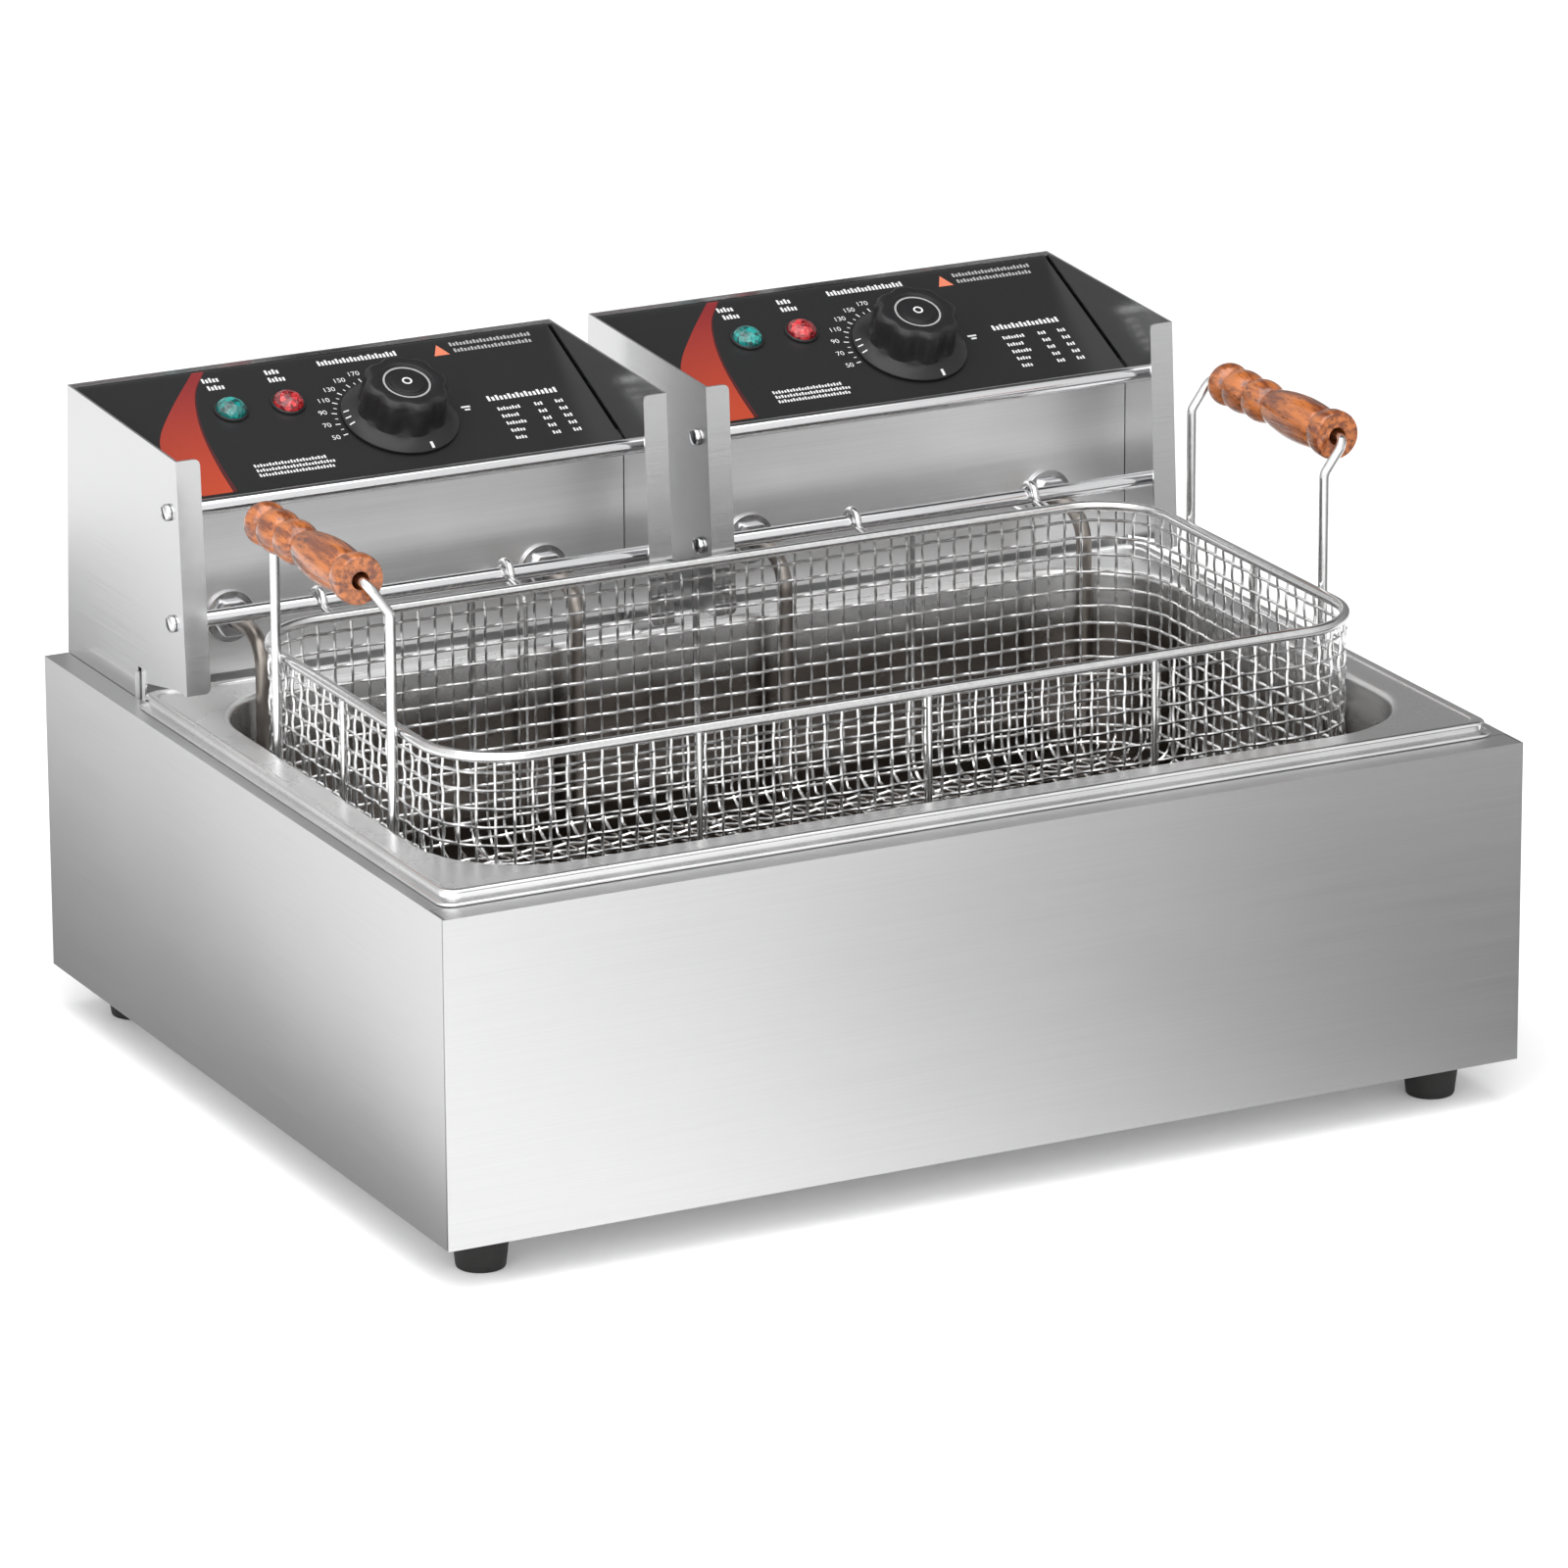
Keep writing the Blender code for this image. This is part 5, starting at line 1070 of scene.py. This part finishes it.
# %% Small print
def bar(u, v, width, height):
    """A rectangle with its lower left corner at (u, v)."""
    return slab([(u, v), (u + width, v), (u + width, v + height), (u, v + height)])


def greeked(u, v, letters, height, pitch):
    """One line of small print: a short bar for each letter, some tall and some half as tall."""
    tall = (0.95, 0.72, 0.95, 0.72, 0.72, 0.95, 0.72)
    return [bar(u + k * pitch, v, pitch * 0.62, height * tall[k % 7]) for k in range(letters)]


small_print = (
    greeked(-0.0640, 0.0845, 5, 0.0038, 0.0019)
    + greeked(-0.0632, 0.0785, 5, 0.0038, 0.0019)
    + greeked(-0.0296, 0.0845, 4, 0.0038, 0.0020)
    + greeked(-0.0300, 0.0785, 5, 0.0038, 0.0019)
    + greeked(0.0000, 0.0858, 22, 0.0040, 0.0020)
    + greeked(-0.0640, 0.0165, 24, 0.0024, 0.00165)
    + greeked(-0.0640, 0.0128, 26, 0.0024, 0.00165)
    + greeked(-0.0640, 0.0091, 25, 0.0024, 0.00165)
    + greeked(0.0750, 0.0415, 17, 0.0042, 0.0023)
)
for row in range(5):
    v = 0.0335 - 0.0058 * row
    small_print += greeked(0.0770, v, (8, 6, 7, 5, 4)[row], 0.0026, 0.0016)
    small_print += greeked(0.0975, v, 3, 0.0026, 0.0016)
    small_print += greeked(0.1090, v, 3, 0.0026, 0.0016)
small_print += [bar(0.0588, 0.0392, 0.0050, 0.0012), bar(0.0600, 0.0370, 0.0030, 0.0012)]
heading = greeked(0.0735, 0.0872, 24, 0.0030, 0.0019) + greeked(0.0740, 0.0822, 23, 0.0030, 0.0019)
for side in HEADS:
    print_slabs(f"{side}_small_print", side, small_print, WHITE_INK)
    print_slabs(f"{side}_upper_print", side, heading, GREY_INK)
    mark = slab([(0.0622, 0.0812), (0.0708, 0.0812), (0.0665, 0.0895)])
    print_slabs(f"{side}_triangle_mark", side, [mark], CORAL_INK)


# %% [markdown]
# ## The dial's scale
# Round the left of the dial a row of tick marks and numbers gives the temperature. Ticks are thin
# radial slabs. The numbers are text turned into a mesh, then laid on the slope by the same sum as
# everything else on the fascia.

# %% Scale ticks and numbers
def ray_corners(angle, width, inner, outer):
    """Four corners along a ray from the dial's middle, half a width to each side."""
    ray = np.array([np.cos(angle), np.sin(angle)])
    step = np.array([-ray[1], ray[0]]) * width / 2
    ends = ((inner, -1), (outer, -1), (outer, 1), (inner, 1))
    return np.stack([DIAL + ray * r + s * step for r, s in ends])


def flat_text(words_to_set, size):
    """Triangles of a short text, centred on the origin, as points and faces."""
    curve_data = bpy.data.curves.new("scale_text", "FONT")
    curve_data.body = words_to_set
    curve_data.size = size
    curve_data.align_x = "CENTER"
    curve_data.align_y = "CENTER"
    text = set_down("scale_text", curve_data)
    mesh = bpy.data.meshes.new_from_object(text.evaluated_get(bpy.context.evaluated_depsgraph_get()))
    points = np.empty(len(mesh.vertices) * 3)
    mesh.vertices.foreach_get("co", points)
    faces = [list(face.vertices) for face in mesh.polygons]
    bpy.data.objects.remove(text)
    bpy.data.meshes.remove(mesh)
    bpy.data.curves.remove(curve_data)
    return points.reshape(-1, 3), faces


ANGLES = np.radians(np.linspace(104, 192, 7))
NUMBERS = ("170", "150", "130", "110", "90", "70", "50")
for side in HEADS:
    ticks = [slab(ray_corners(a, 0.0007, 0.0318, 0.0345)) for a in ANGLES]
    ticks += [slab(ray_corners(a, 0.0005, 0.0318, 0.0334)) for a in (ANGLES[1:] + ANGLES[:-1]) / 2]
    print_slabs(f"{side}_scale_ticks", side, ticks, WHITE_INK)
    parts = []
    for angle, number in zip(ANGLES, NUMBERS):
        flat, triangles = flat_text(number, 0.0046)
        u = DIAL[0] + 0.0390 * np.cos(angle) + flat[:, 0]
        v = DIAL[1] + 0.0390 * np.sin(angle) + flat[:, 1]
        parts.append((on_fascia(side, u, v, INK_TOP), triangles))
    make_piece(f"{side}_scale_numbers", *gathered(parts), f"{side}_head", WHITE_INK)

# %% Marks on the dial
def skirt_mark(angle, width, inner, outer):
    """A mark that lies on the skirt's slope: heights follow the skirt between its two radii."""
    plan = ray_corners(angle, width, inner, outer)
    radii = np.array([inner, outer, outer, inner])
    height = 0.0025 + (0.0296 - radii) / (0.0296 - 0.0262) * 0.0017
    return np.stack([np.column_stack([plan, height + lift]) for lift in (-0.0002, 0.0001)])


def print_ring(name, side, inner, outer, height, finish):
    """A flat ring round the dial's axis: four radii and heights turned through the full circle."""
    angle = np.linspace(0, 2 * np.pi, 48, endpoint=False)
    section = np.array([(inner, 0.0), (outer, 0.0), (outer, 0.00012), (inner, 0.00012)])
    points = round_dial(side, section[:, :1], height + section[:, 1:], angle)
    rings_piece(name, points, True, f"{side}_dial", finish, slot="knob_black")


for side in HEADS:
    marks = [skirt_mark(a, 0.0008, 0.0266, 0.0292) for a in np.radians((166, 176, 186))]
    marks.append(skirt_mark(np.radians(-78), 0.0016, 0.0262, 0.0294))
    print_slabs(f"{side}_skirt_marks", side, marks, WHITE_INK, f"{side}_dial")
    print_ring(f"{side}_dial_ring", side, 0.0112, 0.0122, 0.0226, GREY_INK)
    print_ring(f"{side}_dial_eye", side, 0.0017, 0.0026, 0.0238, WHITE_INK)

# %% [markdown]
# ## Floor, light and camera
# The fryer stands on a plain white floor under soft light. A broad bright world and large area lights
# give steel something pale to reflect, with a darker side to the right, so that the front shades from
# light to grey. The camera is far away with a long lens, which keeps the box's edges nearly parallel.

# %% Studio
def studio_floor():
    size, white = 6.0, (*grey(1.0), 1.0)
    mesh = bpy.data.meshes.new("floor")
    corners = [(-size, -size, 0), (size, -size, 0), (size, size, 0), (-size, size, 0)]
    mesh.from_pydata(corners, [], [(0, 1, 2, 3)])
    glow = {"Emission_Color": white, "Emission_Strength": 0.06}
    mesh.materials.append(Finish("floor_white", Base_Color=white, Roughness=0.9, **glow).material)
    set_down("floor", mesh)


def area_light(name, place, aim, size, power):
    """A square of light at a place, facing a point."""
    light = bpy.data.lights.new(name, "AREA")
    light.shape = "RECTANGLE"
    light.size = light.size_y = size
    light.energy = power
    set_down(name, light).matrix_world = facing(place, aim)


def facing(place, aim):
    """A matrix whose -Z looks from the place to the aim, with Z kept up."""
    place, aim = np.array(place, float), np.array(aim, float)
    back = (place - aim) / np.linalg.norm(place - aim)
    right = np.cross(Z_AXIS if abs(back[2]) < 0.99 else Y_AXIS, back)
    right /= np.linalg.norm(right)
    matrix = np.eye(4)
    matrix[:3, 0], matrix[:3, 1], matrix[:3, 2], matrix[:3, 3] = right, np.cross(back, right), back, place
    return Matrix(matrix.tolist())


def flag(name, corners, height, tone, fade=None):
    """A level card that only reflections see; fade is where white ends and the tone starts along X."""
    mesh = bpy.data.meshes.new(name)
    mesh.from_pydata([(x, y, height) for x, y in corners], [], [(0, 1, 2, 3)])
    paper = Finish(name, Base_Color=(*grey(tone), 1), Roughness=1.0)
    if fade:
        share = paper.step(paper.coordinate("X"), *fade)
        paper.feed(Base_Color=paper.blend(share, grey(0.95), grey(tone)))
    mesh.materials.append(paper.material)
    card = set_down(name, mesh)
    card.visible_camera = card.visible_shadow = card.visible_diffuse = False


def sky(low, high):
    """Brightness by direction: its dot product with the way to the left front, from low to high."""
    world = bpy.data.worlds.new("studio")
    bpy.context.scene.world = world
    world.use_nodes = True
    nodes, links = world.node_tree.nodes, world.node_tree.links
    place = nodes.new("ShaderNodeTexCoord")
    dot = nodes.new("ShaderNodeVectorMath")
    dot.operation = "DOT_PRODUCT"
    dot.inputs[1].default_value = (-0.62, -0.66, 0.42)
    ramp = nodes.new("ShaderNodeMapRange")
    ramp.inputs["From Min"].default_value = -1.0
    ramp.inputs["To Min"].default_value = low
    ramp.inputs["To Max"].default_value = high
    links.new(place.outputs["Generated"], dot.inputs[0])
    links.new(dot.outputs["Value"], ramp.inputs["Value"])
    links.new(ramp.outputs["Result"], nodes["Background"].inputs["Strength"])
    nodes["Background"].inputs["Color"].default_value = (1.0, 1.0, 1.0, 1)


studio_floor()
sky(0.12, 1.3)
area_light("top_soft", (-0.4, -0.5, 2.6), (0, 0, 0.15), 2.6, 38)
area_light("left_soft", (-2.6, -1.6, 1.6), (0, 0, 0.15), 1.8, 16)
area_light("front_soft", (-0.9, -3.2, 1.7), (0, 0, 0.1), 1.6, 18)
NEAR, FAR, LOW_CARD = -0.26, -0.82, 0.002
flag("front_flag", [(-0.3, NEAR), (-0.3, FAR), (2.0, FAR), (2.0, NEAR)], LOW_CARD, 0.14, (-0.22, 0.42))
flag("right_flag", [(0.42, FAR), (0.42, -1.9), (2.0, -1.9), (2.0, FAR)], LOW_CARD, 0.45)
flag("left_flag", [(-0.295, -0.27), (-0.295, 1.0), (-0.60, 1.0), (-0.35, -0.27)], LOW_CARD, 0.22)
flag("top_flag", [(0.0, 0.15), (2.2, 0.15), (2.2, 2.2), (0.0, 2.2)], 1.8, 0.05)
bpy.context.scene.view_settings.view_transform = "Standard"

# %% Camera
AZIMUTH, ELEVATION, ROLL = np.radians([-26.970, 17.849, -0.2927])
HALF_WIDTH = 0.290
CAMERA_PLACE = np.array([-HALF_WIDTH - 1.79305, FRONT - 3.87056, BASE + 1.60105])
FOCAL, SENSOR = 224.209125, 36.0


def camera_matrix():
    """Back, right and up axes from azimuth and elevation, then a small roll about the view."""
    level = np.cos(ELEVATION)
    back = np.array([np.sin(AZIMUTH) * level, -np.cos(AZIMUTH) * level, np.sin(ELEVATION)])
    right = np.cross(-back, Z_AXIS)
    right /= np.linalg.norm(right)
    up = np.cross(right, -back)
    matrix = np.eye(4)
    matrix[:3, 0] = np.cos(ROLL) * right + np.sin(ROLL) * up
    matrix[:3, 1] = -np.sin(ROLL) * right + np.cos(ROLL) * up
    matrix[:3, 2] = back
    matrix[:3, 3] = CAMERA_PLACE
    return Matrix(matrix.tolist())


lens_data = bpy.data.cameras.new("camera")
lens_data.lens = FOCAL
lens_data.sensor_width = SENSOR
lens_data.clip_end = 50
camera = set_down("camera", lens_data)
camera.matrix_world = camera_matrix()
bpy.context.scene.camera = camera
print("lens in millimetres:", round(float(FOCAL), 1))
